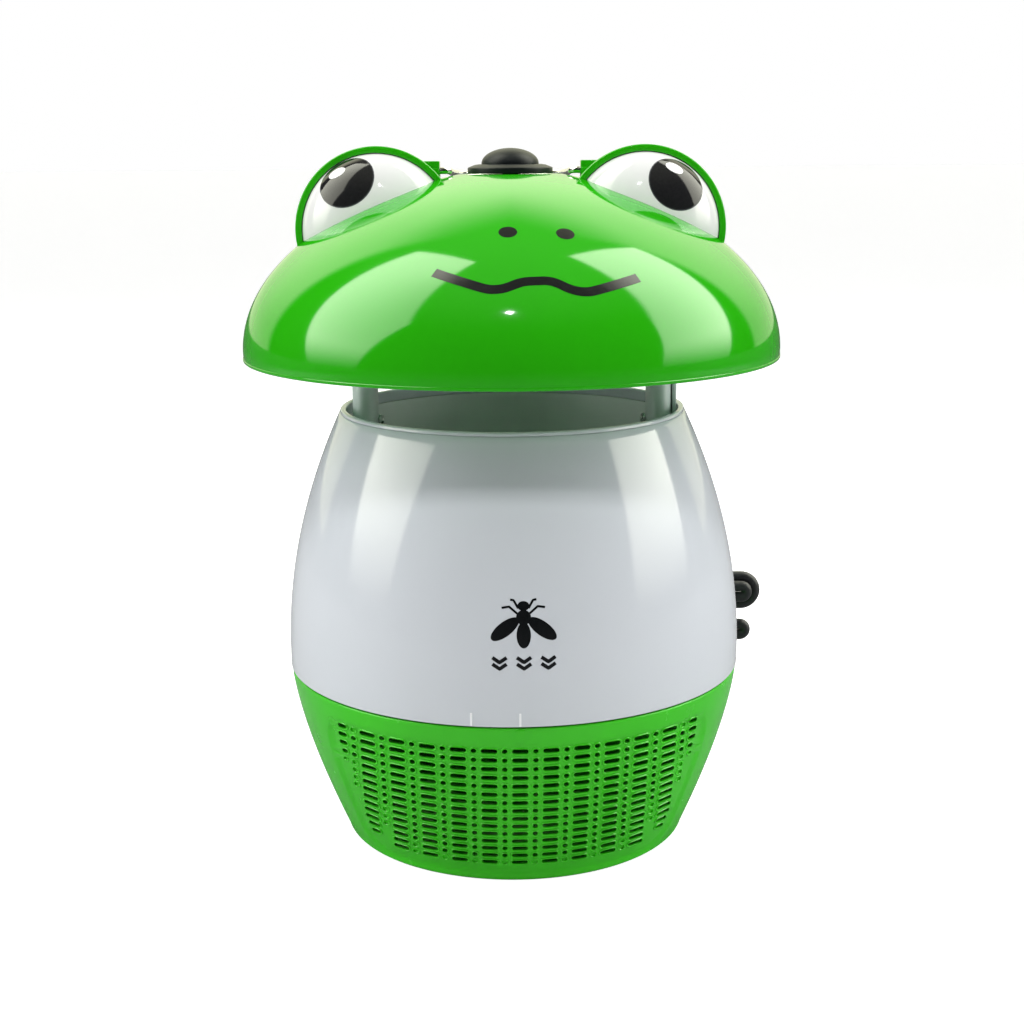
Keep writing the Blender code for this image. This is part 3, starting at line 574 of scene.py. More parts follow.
def basket_radius(z):
    drop = min(max((BASKET_SEAM_Z - z) / BASKET_SEAM_Z, 0.0), 1.0)
    return BASKET_TOP_R - (BASKET_TOP_R - BASKET_FOOT_R) * drop**BASKET_POWER


def cap_point(turn, inset=0.0):
    """A point of the cap's outline; turn 0 is the rim and a quarter turn is the top."""
    radius = (CAP_R - inset) * math.cos(turn) ** (2 / CAP_POWER_R)
    return radius, CAP_Z + (CAP_H - inset) * math.sin(turn) ** (2 / CAP_POWER_Z)


def cap_radius(z):
    height = (z - CAP_Z) / CAP_H
    return CAP_R * (1 - height**CAP_POWER_Z) ** (1 / CAP_POWER_R)


def inside_cap(p):
    height = max((p.z - CAP_Z) / CAP_H, 0.0)
    return (math.hypot(p.x, p.y) / CAP_R) ** CAP_POWER_R + height**CAP_POWER_Z - 1


def inside_shell(p):
    return math.hypot(p.x, p.y) - shell_radius(p.z)


def inside_basket(p):
    return math.hypot(p.x, p.y) - basket_radius(p.z)


def eye_measure(side):
    def inside(p):
        across = ((p.x - side * EYE_X) ** 2 + (p.z - EYE_Z) ** 2) / EYE_R**2
        return across + ((p.y + EYE_BASE) / EYE_DEPTH) ** 2 - 1
    return inside


def outward(inside, p):
    step = 1e-3
    slope = []
    for axis in (Vector((1, 0, 0)), Vector((0, 1, 0)), Vector((0, 0, 1))):
        slope.append(inside(p + axis * step) - inside(p - axis * step))
    return Vector(slope).normalized()


def drop_on(inside, p, normal, reach=9.0):
    """Moves p along the normal until it lies on the surface."""
    high, low = reach, -reach
    for _ in range(36):
        half = (high + low) / 2
        if inside(p + normal * half) > 0:
            high = half
        else:
            low = half
    return p + normal * high


def round_point(azimuth, radius, z):
    turn = math.radians(azimuth)
    return Vector((radius * math.sin(turn), -radius * math.cos(turn), z))


def pad_into(shape, rows, inside, up=0.05, closed=False, filled=False):
    """A thin film over the grid of surface points in rows.

    The rows of a closed film run round, and a filled one has no hole inside its first row.
    """
    layers = []
    for offset in (up, -FILM_SINK):
        layers.append([shape.loop(p + outward(inside, p) * offset for p in row) for row in rows])
    for layer in layers:
        for first, second in zip(layer, layer[1:]):
            shape.band(first, second, closed)
    top, bottom = layers
    if filled:
        shape.face(top[0])
        shape.face(bottom[0])
    else:
        shape.band(top[0], bottom[0], closed)
    shape.band(top[-1], bottom[-1], closed)
    if not closed:
        for k in (0, -1):
            shape.band([row[k] for row in top], [row[k] for row in bottom], closed=False)
    return shape


def disc_into(shape, inside, centre, half_u, half_v, lean=0.0, up=0.05, inner=0.0, rings=7, sides=64):
    """A printed oval about a surface point. half_u lies level, half_v goes up; lean turns it."""
    normal = outward(inside, centre)
    level = Vector((0, 0, 1)).cross(normal).normalized()
    upward = normal.cross(level)
    turn = math.radians(lean)
    u = level * math.cos(turn) + upward * math.sin(turn)
    v = upward * math.cos(turn) - level * math.sin(turn)
    rows = []
    for share in spaced(max(inner, 0.02), 1.0, rings):
        row = []
        for angle in full_turn(sides):
            flat = centre + (u * (half_u * math.cos(angle)) + v * (half_v * math.sin(angle))) * share
            row.append(drop_on(inside, flat, normal))
        rows.append(row)
    return pad_into(shape, rows, inside, up, closed=True, filled=inner == 0.0)


def stroke_into(shape, inside, path, width, up=0.05, across=4):
    """A printed line of constant width along surface points, with square ends."""
    rows = []
    for i, point in enumerate(path):
        normal = outward(inside, point)
        side = normal.cross(direction(path, i)).normalized()
        shares = spaced(-0.5, 0.5, across)
        rows.append([drop_on(inside, point + side * (width * share), normal) for share in shares])
    return pad_into(shape, rows, inside, up)


def resample(path, step):
    """Points at even steps along a path."""
    points = [path[0]]
    for first, second in zip(path, path[1:]):
        count = max(1, round((second - first).length / step))
        points += [first.lerp(second, i / count) for i in range(1, count + 1)]
    return points


# ---------------- cap and face


# Turn of cap_point at which the switch's flat seat begins
SEAT_TURN = math.acos((SEAT_R / CAP_R) ** (CAP_POWER_R / 2))


def build_cap():
    outer = [cap_point(SEAT_TURN * (i / 56) ** 1.25) for i in range(1, 57)]
    inner = [cap_point(SEAT_TURN * i / 24, CAP_WALL) for i in range(24, -1, -1)]
    seat_hole = span("switch_body")[1].x + 0.4
    bead_r, bead_h = CAP_R + 0.1, 1.1
    rim = outline([(CAP_R - CAP_WALL, CAP_FOOT_Z, 0.4), (bead_r, CAP_FOOT_Z, 0.7),
                   (bead_r, CAP_FOOT_Z + bead_h, 0.25), (CAP_R - 0.08, CAP_FOOT_Z + 1.3, 0.1)])
    seat = [(SEAT_R, CAP_TOP_Z - 0.05), (seat_hole, CAP_TOP_Z - 0.05), (seat_hole, inner[0][1])]
    piece("cap", turned(rim + outer + seat + inner, FINE_SIDES * 2), CAP_GREEN, ["cap_shell"])


def below_cap(gap):
    """Solid that fills the space under the cap's surface and stands a gap's width above it."""
    foot_z = 150
    dome = [cap_point(SEAT_TURN * i / 72, -gap) for i in range(73)]
    return turned([(0, foot_z), (CAP_R + gap, foot_z)] + dome + [(0, CAP_TOP_Z)], FINE_SIDES)


def eye_matrix(side):
    """Local Z points out of the front of the eye."""
    return Matrix.Translation((side * EYE_X, 0, EYE_Z)) @ Matrix.Rotation(math.pi / 2, 4, "X")


def half_oval(radius, base, depth, steps):
    """From the rim at the base to the pole along local Z."""
    turns = [math.pi / 2 * i / steps for i in range(steps)]
    return [(radius * math.cos(t), base + depth * math.sin(t)) for t in turns] + [(0, base + depth)]


def eye_socket(name, side):
    """Pod with a rim band round the eye."""
    outer = half_oval(RIM_R, POD_BASE, -POD_DEPTH, 28)
    inner = half_oval(RIM_R - POD_WALL, POD_BASE, POD_WALL - POD_DEPTH, 20)
    rim = outline([(RIM_R - POD_WALL, POD_BASE), (RIM_R - POD_WALL, RIM_FRONT, 0.35),
                   (RIM_R, RIM_FRONT, 0.7), (RIM_R, POD_BASE)])
    profile = rim[1:-1] + outer + inner[::-1]
    return made_object(f"eye_socket_shell_{name}", turned(profile, FINE_SIDES, eye_matrix(side)))


def add_lug(socket, side):
    """The lug with its stepped front, and the bore for the bail."""
    step_in_x, step_front_y, step_back_y = LUG_IN_X + 0.4, -LUG_HALF_Y - 0.45, 3.0
    for in_x, front_y, back_y, top_z, bevel in (
        (LUG_IN_X, -LUG_HALF_Y, LUG_HALF_Y, LUG_TOP_Z, 0.35),
        (step_in_x, step_front_y, step_back_y, LUG_TOP_Z - 2.6, 0.25),
    ):
        near, far = sorted((side * in_x, side * LUG_OUT_X))
        block = block_into(Shape(), (near, front_y, LUG_FOOT_Z), (far, back_y, top_z), bevel)
        combine(socket, block, "UNION")
    bore_r, start, end = BAIL_R + 0.3, LUG_IN_X - 1, LUG_IN_X + 5.4
    bore = turned([(0, start), (bore_r, start), (bore_r, end), (0, end)], 24, pointed("X", BAIL_Z, side))
    combine(socket, bore, "DIFFERENCE")


def build_eye(name, side):
    socket = eye_socket(name, side)
    add_lug(socket, side)
    combine(socket, below_cap(0.02), "DIFFERENCE")
    finish_piece(socket, CAP_GREEN, [f"eye_socket_{name}"])

    wall = 2
    front = half_oval(EYE_R, EYE_BASE, EYE_DEPTH, 40)
    back = half_oval(EYE_R - wall, EYE_BASE, EYE_DEPTH - wall, 18)
    eye = made_object(f"eye_white_{name}", turned(front + back[::-1], FINE_SIDES, eye_matrix(side)))
    combine(eye, below_cap(0.03), "DIFFERENCE")
    finish_piece(eye, EYE_WHITE, [f"eyeball_{name}"])


def build_pupil(name, side, offset, shine, lean):
    """Printed pupil with a grey edge and a white highlight, on the bulge of the eye."""
    inside = eye_measure(side)
    across = math.hypot(*offset) / EYE_R
    y = -EYE_BASE - EYE_DEPTH * math.sqrt(1 - across**2)
    centre = Vector((side * EYE_X + offset[0], y, EYE_Z + offset[1]))
    radius, black_r, edge_w = 10.9, 10.55, 0.4
    pupil = disc_into(Shape(), inside, centre, black_r, black_r, up=0.04, rings=12, sides=SIDES)
    piece(f"pupil_{name}", pupil, GLOSS_INK)
    edge = disc_into(Shape(), inside, centre, radius, radius, up=0.045,
                     inner=(radius - edge_w) / radius, rings=3, sides=SIDES)
    piece(f"pupil_edge_{name}", edge, OUTLINE_INK)
    spot = drop_on(inside, centre + Vector((shine[0], 0, shine[1])), outward(inside, centre))
    half_length, half_height = 3.5, 2.25
    highlight = disc_into(Shape(), inside, spot, half_length, half_height, lean, up=0.07)
    piece(f"pupil_shine_{name}", highlight, WHITE_INK)


def build_face():
    nostril_r = 3.2
    for name, azimuth, z in (("left", -0.8, 239.6), ("right", 15.0, 238.8)):
        centre = round_point(azimuth, cap_radius(z), z)
        piece(f"nostril_{name}", disc_into(Shape(), inside_cap, centre, nostril_r, nostril_r), INK)
    # The mouth is rounded on the flat, in millimetres along the cap's girth at that height
    per_degree = math.radians(89.0)
    corners = [(-17.2, 227.0), (-3.2, 221.2), (2.4, 224.3), (8.6, 224.5), (14.4, 220.0), (28.6, 224.4)]
    flat = [(azimuth * per_degree, z, 0.0) for azimuth, z in corners]
    path = resample(rounded_path(flat, [15.0, 16.0, 12.0, 15.0]), 1.0)
    on_cap = [round_point(p.x / per_degree, cap_radius(p.y), p.y) for p in path]
    line_width = 3.6
    piece("mouth", stroke_into(Shape(), inside_cap, on_cap, line_width), INK)


# ---------------- switch and bail


def build_switch():
    low, high = span("switch_bezel")
    button_low, button_high = span("power_button")
    radius, button_r = high.x, button_high.x
    hole_r = button_r + 0.3
    bezel = outline([(hole_r, low.z), (radius, low.z, 0.2), (radius, high.z - 1.3, 0.6),
                     (radius - 2.7, high.z - 0.25, 0.8), (button_r + 0.9, high.z, 0.3),
                     (hole_r, high.z - 0.4)])
    piece("switch_collar", turned(bezel), BLACK, ["switch_bezel"])

    stem_r, foot, shoulder = 3.2, low.z + 1.0, 262.0
    crown = []
    for i in range(1, 22):
        turn = math.pi / 2 * i / 22
        crown.append((button_r * math.cos(turn), shoulder + (button_high.z - shoulder) * math.sin(turn)))
    stem = [(0, button_low.z), (stem_r, button_low.z), (stem_r, foot)]
    side = stem + [(button_r, foot), (button_r, shoulder)]
    piece("switch_button", turned(side + crown + [(0, button_high.z)]), BLACK, ["power_button"], "button")


def build_bail():
    """A wire bow between the lugs, folded back over the cap with a slight fall."""
    high = span("bail_handle")[1]
    bow_r, elbow_r = 23.2, 3.0
    arm = high.y - BAIL_R - bow_r
    fall = math.tan(math.radians(2.0))
    corners = [(-high.x, 0, BAIL_Z), (-bow_r, 0, BAIL_Z), (-bow_r, arm, BAIL_Z - arm * fall)]
    start = rounded_path(corners, [elbow_r])
    bow = []
    for i in range(1, 36):
        turn = math.pi * i / 36
        y = arm + bow_r * math.sin(turn)
        bow.append(Vector((-bow_r * math.cos(turn), y, BAIL_Z - y * fall)))
    end = [Vector((-p.x, p.y, p.z)) for p in reversed(start)]
    piece("bail", sweep_into(Shape(), start + bow + end, BAIL_R), CHROME, ["bail_handle"], "bail")


# ---------------- body shell and throat


def build_shell():
    z0, z1 = SHELL_FOOT_Z, SHELL_TOP_Z
    foot_r = shell_radius(z0)
    lip = outline([(foot_r - SHELL_WALL, z0, 0.3), (foot_r + 0.15, z0, 0.55), (foot_r + 0.02, z0 + 1.2)])
    outer = [(shell_radius(z), z) for z in spaced(z0 + 1.4, z1 - 0.3, 44)]
    top = [(shell_radius(z1) - 0.25, z1)]
    least_r = 66.6
    inner = [(max(shell_radius(z) - SHELL_WALL, least_r), z) for z in spaced(z1, z0 + 0.6, 20)]
    shell = made_object("shell", turned(lip + outer + top + inner, FINE_SIDES * 2))
    hole_r, start, end = 4.5, 80, 96
    profile = [(0, start), (hole_r, start), (hole_r, end), (0, end)]
    combine(shell, turned(profile, 48, pointed("Y", CORD_EXIT_Z)), "DIFFERENCE")
    finish_piece(shell, WHITE, ["main_shell"])


def build_marks():
    """Two upright ticks above the seam, at the basket's locked and unlocked turns, painted whiter than the
    shell as a highlight.
    """
    gap, length, width = 0.5, 4.7, 0.75
    for name, azimuth in (("locked", GRILLE_TURN), ("unlocked", UNLOCKED_TURN)):
        heights = spaced(SHELL_FOOT_Z + gap, SHELL_FOOT_Z + gap + length, 8)
        path = [round_point(azimuth, shell_radius(z), z) for z in heights]
        tick = stroke_into(Shape(), inside_shell, path, width, up=0.4)
        piece(f"mark_{name}", tick, MARK_PAINTED_HIGHLIGHT)


def build_intake_ring():
    gap = 0.12
    foot = SHELL_TOP_Z + gap
    foot_r, spigot_r = shell_radius(foot), THROAT_R + 1.4
    duct_top = span("intake_duct")[1].z + 0.3
    ring = outline([(THROAT_R, duct_top), (spigot_r, duct_top), (spigot_r, foot),
                    (foot_r - 0.1, foot, 0.12), (foot_r - 0.4, RING_TOP_Z, 0.7),
                    (THROAT_R, RING_TOP_Z, 0.7)], steps=8)
    piece("throat_ring", turned(ring, FINE_SIDES * 2), WHITE, ["intake_ring"])


def build_duct():
    """Funnel from the throat to the fan, with a flange and three screw bosses at its foot."""
    low, high = span("intake_duct")
    fan_r, mouth_r, flange_r, wall = 54.0, 64.6, 66.0, 1.6
    top, taper, neck, flange_top = high.z, 146.0, 128.0, low.z + 2.2
    bend = 6.0
    profile = outline([(fan_r, low.z), (flange_r, low.z, 0.4), (flange_r, flange_top, 0.4),
                       (fan_r + wall, flange_top, 0.8), (fan_r + wall, neck - 0.5, bend),
                       (mouth_r + wall, taper - 0.5, bend), (mouth_r + wall, top, 0.3),
                       (mouth_r, top, 0.3), (mouth_r, taper, bend), (fan_r, neck, bend)])
    duct = turned(profile, FINE_SIDES)
    bore_r, boss_r, boss_foot, boss_top = 1.7, 3.6, low.z + 0.5, 88.0
    boss = outline([(bore_r, boss_foot), (boss_r, boss_foot), (boss_r, boss_top, 0.5),
                    (bore_r, boss_top, 0.3)])
    for i in (1, 2, 3):
        at = middle(f"base_screw_{i}")
        turn_into(duct, boss, 32, Matrix.Translation((at.x, at.y, 0)))
    piece("throat_duct", duct, DUCT_GREY, ["intake_duct"])


def oval(centre_x, half_x, half_y, z, sides=64):
    return [(centre_x + half_x * math.cos(t), half_y * math.sin(t), z) for t in full_turn(sides)]


def build_posts():
    for name, side in (("left", -1), ("right", 1)):
        low, high = span(f"post_{name}")
        centre = (low.x + high.x) / 2
        half_x, half_y = (high.x - low.x) / 2, high.y
        post = Shape()
        rings = []
        for inset, z in ((0.5, low.z), (0.0, low.z + 0.5), (0.0, high.z - 0.5), (0.3, high.z)):
            rings.append(post.loop(oval(centre, half_x - inset, half_y - inset, z)))
        post.loft(rings)
        piece(f"post_column_{name}", post, POST_GREY, [f"post_{name}"])

        seat = abs(centre) - half_x - 0.2
        inward = pointed("X", middle(f"post_screw_{name}").z, side) @ Matrix.Translation((0, 0, seat))
        screw = screw_shape(2.1, 1.9, 2.6, inward)
        piece(f"post_fixing_{name}", screw, STEEL, [f"post_screw_{name}"])
    low, high = span("conduit_cover")
    cover = block_into(Shape(), (low.x - 0.2, low.y, low.z), high, 0.6)
    piece("conduit_strip", cover, POST_GREY, ["conduit_cover"])


def screw_shape(head_r, head_h, shank, matrix, shank_r=None):
    """A pan-head screw that points along local +Z from its seat, with a cross recess."""
    shank_r = shank_r or head_r * 0.5
    profile = outline([(0, -head_h), (head_r * 0.72, -head_h, head_h * 0.3),
                       (head_r, -head_h * 0.45, head_h * 0.3), (head_r, 0), (shank_r, 0),
                       (shank_r, shank - 0.4), (shank_r * 0.6, shank), (0, shank)], steps=4)
    made = made_object("screw", turned(profile, SMALL_SIDES))
    length, width, floor = head_r * 0.62, head_r * 0.12, -head_h * 0.42
    for turn in (0, math.pi / 2):
        arm = block_into(Shape(), (-length, -width, -head_h - 0.4), (length, width, floor), 0.05)
        arm.place(Matrix.Rotation(turn, 4, "Z"))
        combine(made, arm, "DIFFERENCE")
    shape = Shape()
    shape.points = [tuple(v.co / MM) for v in made.data.vertices]
    shape.faces = [list(p.vertices) for p in made.data.polygons]
    shape.place(matrix)
    bpy.data.objects.remove(made)
    return shape


# ---------------- pictogram on the shell


def shell_spot(across, up):
    """A point of the shell, from millimetres across and up from the pictogram's centre."""
    centre_azimuth, centre_z = 2.25, 105.2
    height = centre_z + up
    radius = shell_radius(height)
    return round_point(centre_azimuth + math.degrees(across / radius), radius, height)


def line_into(shape, corners, step, width):
    """A bent line of the pictogram."""
    path = resample([shell_spot(across, up) for across, up in corners], step)
    stroke_into(shape, inside_shell, path, width)


def build_pictogram():
    """A fly seen from above, over three chevrons that stand for the air drawn in."""
    fly = Shape()
    head, chest, tail = (0.0, 6.6, 2.1, 1.7, 0), (0.0, 2.6, 2.6, 2.7, 0), (0.0, -3.6, 2.5, 4.6, 0)
    wings = [(side * 6.6, -1.4, 2.5, 6.0, side * 52) for side in (-1, 1)]
    for across, up, half_u, half_v, lean in [head, chest, tail] + wings:
        disc_into(fly, inside_shell, shell_spot(across, up), half_u, half_v, lean, rings=5, sides=48)
    for leg in [((2.2, 4.0), (5.0, 6.4), (7.6, 6.0)), ((1.8, 5.8), (3.4, 8.6), (4.6, 8.8))]:
        for side in (-1, 1):
            line_into(fly, [(side * across, up) for across, up in leg], 0.5, 0.8)
    arm, drop = 2.5, 1.7
    for centre in (-8.6, 0.0, 8.6):
        for up in (-11.4, -13.7):
            line_into(fly, [(centre - arm, up), (centre, up - drop), (centre + arm, up)], 0.4, 1.3)
    piece("pictogram", fly, INK)


# ---------------- basket


def row_height(row):
    """Height of a row of slots. The pitch shrinks towards the foot."""
    shrink = (ROW_PITCH_TOP - ROW_PITCH_FOOT) / ROWS
    return FIRST_ROW_Z - ROW_PITCH_TOP * row + shrink * row * (row - 1) / 2


def panel_sink(azimuth, z):
    """How deep the grille's panel lies below the basket's surface here."""
    radius = basket_radius(z)
    across = (abs(azimuth) - GRILLE_HALF) * radius * math.tau / 360
    above, below = z - GRILLE_TOP_Z, GRILLE_FOOT_Z - z
    corner = GRILLE_CORNER
    dx, dz = across + corner, max(above, below) + corner
    outside = math.hypot(max(dx, 0), max(dz, 0)) + min(max(dx, dz), 0) - corner
    return GRILLE_DEPTH * (1 - smooth_step(-GRILLE_BLEND, GRILLE_BLEND * 0.6, outside))


class BasketWall:
    """One half of the basket's wall, a grid of cells in which slots and holes are set.

    Columns of cells stand at constant x, so that the slots run straight from front to back. Beyond the
    last column, strips run round to the side of the basket.
    """

    SLOT_STEPS = 8
    HOLE_STEPS = 4
    ROW_STEPS = 4
    STRIP_STEPS = 44
    INSIDE_STEP = 4
    SLOT_CELL_HALF = COLUMN_PITCH / 2 - HOLE_CELL_HALF

    # From the first row to the last, slots end a little sooner (degrees) and get lower (share)
    END_SHIFT = 0.9
    SLIMMING = 0.14
    SHORTEST_SLOT = 1.5

    # How far the last column spreads towards the side of the basket
    LAST_SHARE = 0.3546

    # Beyond this |x|, which grows with the height, the holes are dimples and then stop
    OPEN_AT_FOOT = 29.5
    OPEN_GROWTH = 0.70
    DIMPLES_REACH = 9

    # Rings of a rim from the panel to its inside: (distance outside the slot's edge, depth below the panel)
    OPEN_RIM = ((0.74, 0.0), (0.60, -0.22), (0.42, -0.38), (0.18, -0.34), (0.0, -0.06), (0.0, 0.8))
    DIMPLE_RIM = ((0.66, 0.0), (0.5, -0.2), (0.28, -0.24), (0.05, 0.0), (-0.12, 0.4), (-0.4, 0.5))
    INNER_RIM = 0.12

    def __init__(self, shape, half_turn):
        self.shape = shape
        self.half_turn = half_turn
        self.known = {}
        self.x_lines, self.cells = self.columns()
        self.z_lines = self.rows()
        self.last_line = len(self.x_lines) - 1

    def columns(self):
        """Positions of the upright lines of the grille, and each cell's (kind, centre, first line)."""
        half = self.SLOT_CELL_HALF
        lines, cells = [], []
        for n in range(-COLUMNS, COLUMNS + 1):
            centre = n * COLUMN_PITCH
            cells.append(("slot", centre, len(lines)))
            lines += spaced(centre - half, centre + half, self.SLOT_STEPS + 1)[:-1]
            if n < COLUMNS:
                cells.append(("hole", centre + COLUMN_PITCH / 2, len(lines)))
                lines += spaced(centre + half, centre + COLUMN_PITCH - half, self.HOLE_STEPS + 1)[:-1]
        lines.append(COLUMNS * COLUMN_PITCH + half)
        return lines, cells

    def rows(self):
        """Heights of the level lines, from the foot up; rows of cells are ROW_STEPS apart."""
        heights = [row_height(r) for r in range(ROWS + 1)]
        borders = [(a + b) / 2 for a, b in zip(heights, heights[1:])]
        top = heights[0] + (heights[0] - borders[0])
        borders = [top] + borders
        lines = spaced(FOOT_BEND, borders[-1], 5)[:-1]
        self.first_cell_line = len(lines)
        for low, high in zip(borders[::-1], borders[-2::-1]):
            lines += spaced(low, high, self.ROW_STEPS + 1)[:-1]
        self.last_cell_line = len(lines)
        lines += spaced(top, BASKET_SEAM_Z - 0.45, 8)
        return lines

    def spot(self, i, z, sink):
        """Azimuth of upright line i at a height, and the radius there."""
        radius = basket_radius(z) - sink
        last = self.x_lines[-1]
        bend = last - 2 * self.SLOT_CELL_HALF
        reach = min(last, bend + self.LAST_SHARE * (basket_radius(z) - bend))
        count = self.last_line
        if i < 0 or i > count:
            edge = math.degrees(math.asin(reach / radius))
            share = (-i if i < 0 else i - count) / self.STRIP_STEPS
            azimuth = edge + (90 - edge) * share
            return (-azimuth if i < 0 else azimuth), radius
        x = self.x_lines[i]
        if abs(x) > bend:
            x = math.copysign(bend + (abs(x) - bend) * (reach - bend) / (last - bend), x)
        return math.degrees(math.asin(x / radius)), radius

    def place(self, azimuth, radius, z):
        return round_point(azimuth + GRILLE_TURN + self.half_turn, radius, z)

    def grid_point(self, i, j, layer):
        """Shared point of the outer (0) or inner (1) grid."""
        key = (i, j, layer)
        if key not in self.known:
            z = self.z_lines[j]
            azimuth, radius = self.spot(i, z, BASKET_WALL if layer else 0.0)
            if not layer:
                radius -= panel_sink(azimuth, z)
            self.known[key] = self.shape.point(*self.place(azimuth, radius, z))
        return self.known[key]

    def loose_point(self, x, z, sink, layer=0):
        """A point of a slot's rim, sink millimetres below the panel."""
        radius = basket_radius(z) - (BASKET_WALL if layer else 0.0)
        azimuth = math.degrees(math.asin(max(-1.0, min(1.0, x / radius))))
        if not layer:
            radius -= panel_sink(azimuth, z) + sink
            azimuth = math.degrees(math.asin(x / radius))
        return self.shape.point(*self.place(azimuth, radius, z))

    def opening(self, kind, centre, row):
        """What a cell holds: (half length of its straight part, centre x, rim radius, open) or None."""
        return self.hole(centre, row) if kind == "hole" else self.slot(centre, row)

    def hole(self, centre, row):
        """Open in the middle, closed towards the sides and in the last row, and missing beyond that."""
        open_limit = self.OPEN_GROWTH * row_height(row) + self.OPEN_AT_FOOT
        in_last_column = abs(centre) > (COLUMNS - 0.6) * COLUMN_PITCH
        if abs(centre) > open_limit + self.DIMPLES_REACH or (in_last_column and row > 8):
            return None
        closed = abs(centre) >= open_limit or row == ROWS - 1 or (in_last_column and row in (0, 6, 7, 8))
        return 0.0, centre, HOLE_R, not closed and not self.blind(row)

    def slot(self, centre, row):
        """Cut short where the panel ends; what is left of a very short one is a dimple or nothing."""
        end_turn = math.radians(SLOT_END_DEG - self.END_SHIFT * (row / ROWS))
        limit = basket_radius(row_height(row)) * math.sin(end_turn)
        near = abs(centre) - SLOT_HALF_W
        far = min(abs(centre) + SLOT_HALF_W, limit)
        if abs(centre) > (COLUMNS - 0.5) * COLUMN_PITCH:
            far = min(far, near + (3.3 if row < 3 else 2.2))
            if row > 4:
                return None
            if row == 4:
                return self.dimple(centre, near + 1.2)
        if far - near < self.SHORTEST_SLOT:
            return self.dimple(centre, near + 0.9) if far - near > -self.SHORTEST_SLOT else None
        if row == ROWS - 1 and abs(centre) > (COLUMNS - 1.5) * COLUMN_PITCH:
            return None
        slim = SLOT_HALF_H * (1 - self.SLIMMING * row / ROWS)
        return (far - near) / 2 - slim, math.copysign((far + near) / 2, centre), slim, not self.blind(row)

    def dimple(self, centre, at):
        return 0.0, math.copysign(at, centre), DIMPLE_R, False

    def blind(self, row):
        """The lower rows of the rear half are dimples without an opening."""
        return self.half_turn > 0 and row > 5

    def border(self, i0, i1, j0, j1):
        """Lines that cross at the points round a cell, counter-clockwise from its lower left corner."""
        keys = [(i, j0) for i in range(i0, i1)] + [(i1, j) for j in range(j0, j1)]
        return keys + [(i, j1) for i in range(i1, i0, -1)] + [(i0, j) for j in range(j1, j0, -1)]

    def rim(self, keys, half, centre, radius, z, offset, sink, layer=0):
        """A loop round the opening, one point for each border point."""
        loop = []
        for i, j in keys:
            dx = self.x_lines[i] - centre
            dz = self.z_lines[j] - z
            along = min(max(dx, -half), half)
            arm = Vector((dx - along, dz))
            arm = arm.normalized() * (radius + offset)
            loop.append(self.loose_point(centre + along + arm.x, z + arm.y, sink, layer))
        return loop

    def cell(self, i0, i1, j0, j1, opening, z):
        """Fills a cell; tells whether the inner skin is done too."""
        if opening is None:
            for i in range(i0, i1):
                for j in range(j0, j1):
                    self.quad(i, j)
            return False
        half, centre, radius, is_open = opening
        keys = self.border(i0, i1, j0, j1)
        edge = [self.grid_point(i, j, 0) for i, j in keys]
        for offset, sink in self.OPEN_RIM if is_open else self.DIMPLE_RIM:
            ring = self.rim(keys, half, centre, radius, z, offset, sink)
            self.shape.band(edge, ring)
            edge = ring
        if not is_open:
            self.shape.face(edge)
            return False
        inner_ring = self.rim(keys, half, centre, radius, z, self.INNER_RIM, 0, layer=1)
        self.shape.band(edge, inner_ring)
        self.inner_cell(i0, i1, j0, j1, keys, inner_ring)
        return True

    def inner_cell(self, i0, i1, j0, j1, keys, ring):
        """The inner skin round an opening: fans from each corner of the cell."""
        corners = [(i0, j0), (i1, j0), (i1, j1), (i0, j1)]
        marks = [keys.index(c) for c in corners]
        count = len(ring)
        for k in range(4):
            corner = self.grid_point(*corners[k], 1)
            after = self.grid_point(*corners[(k + 1) % 4], 1)
            start, end = marks[k], marks[(k + 1) % 4] or count
            half_way = (start + end) // 2
            for step in range(start, end):
                tip = corner if step < half_way else after
                self.shape.face((ring[step], ring[(step + 1) % count], tip))
            self.shape.face((corner, after, ring[half_way]))

    def quad(self, i, j):
        self.patch(i, i + 1, j, j + 1, 0)

    def patch(self, i0, i1, j0, j1, layer):
        corners = (i0, j0), (i1, j0), (i1, j1), (i0, j1)
        self.shape.face(self.grid_point(i, j, layer) for i, j in corners)

    def build(self):
        steps = {"slot": self.SLOT_STEPS, "hole": self.HOLE_STEPS}
        self.columns_of_cells = [(kind, centre, i0, i0 + steps[kind]) for kind, centre, i0 in self.cells]
        tops = [self.last_cell_line - self.ROW_STEPS * row for row in range(ROWS)]
        self.rows_of_cells = [(top - self.ROW_STEPS, top) for top in tops]
        for row, (j0, j1) in enumerate(self.rows_of_cells):
            for kind, centre, i0, i1 in self.columns_of_cells:
                opening = self.opening(kind, centre, row)
                if not self.cell(i0, i1, j0, j1, opening, row_height(row)):
                    self.patch(i0, i1, j0, j1, 1)
        self.plain_outside()
        self.plain_inside()

    def has_cells(self, j):
        return self.first_cell_line <= j < self.last_cell_line

    def plain_outside(self):
        """The outer skin above, below and beside the cells."""
        count, strip = self.last_line, self.STRIP_STEPS
        for j in range(len(self.z_lines) - 1):
            if not self.has_cells(j):
                for i in range(count):
                    self.quad(i, j)
            for i in list(range(-strip, 0)) + list(range(count, count + strip)):
                self.quad(i, j)

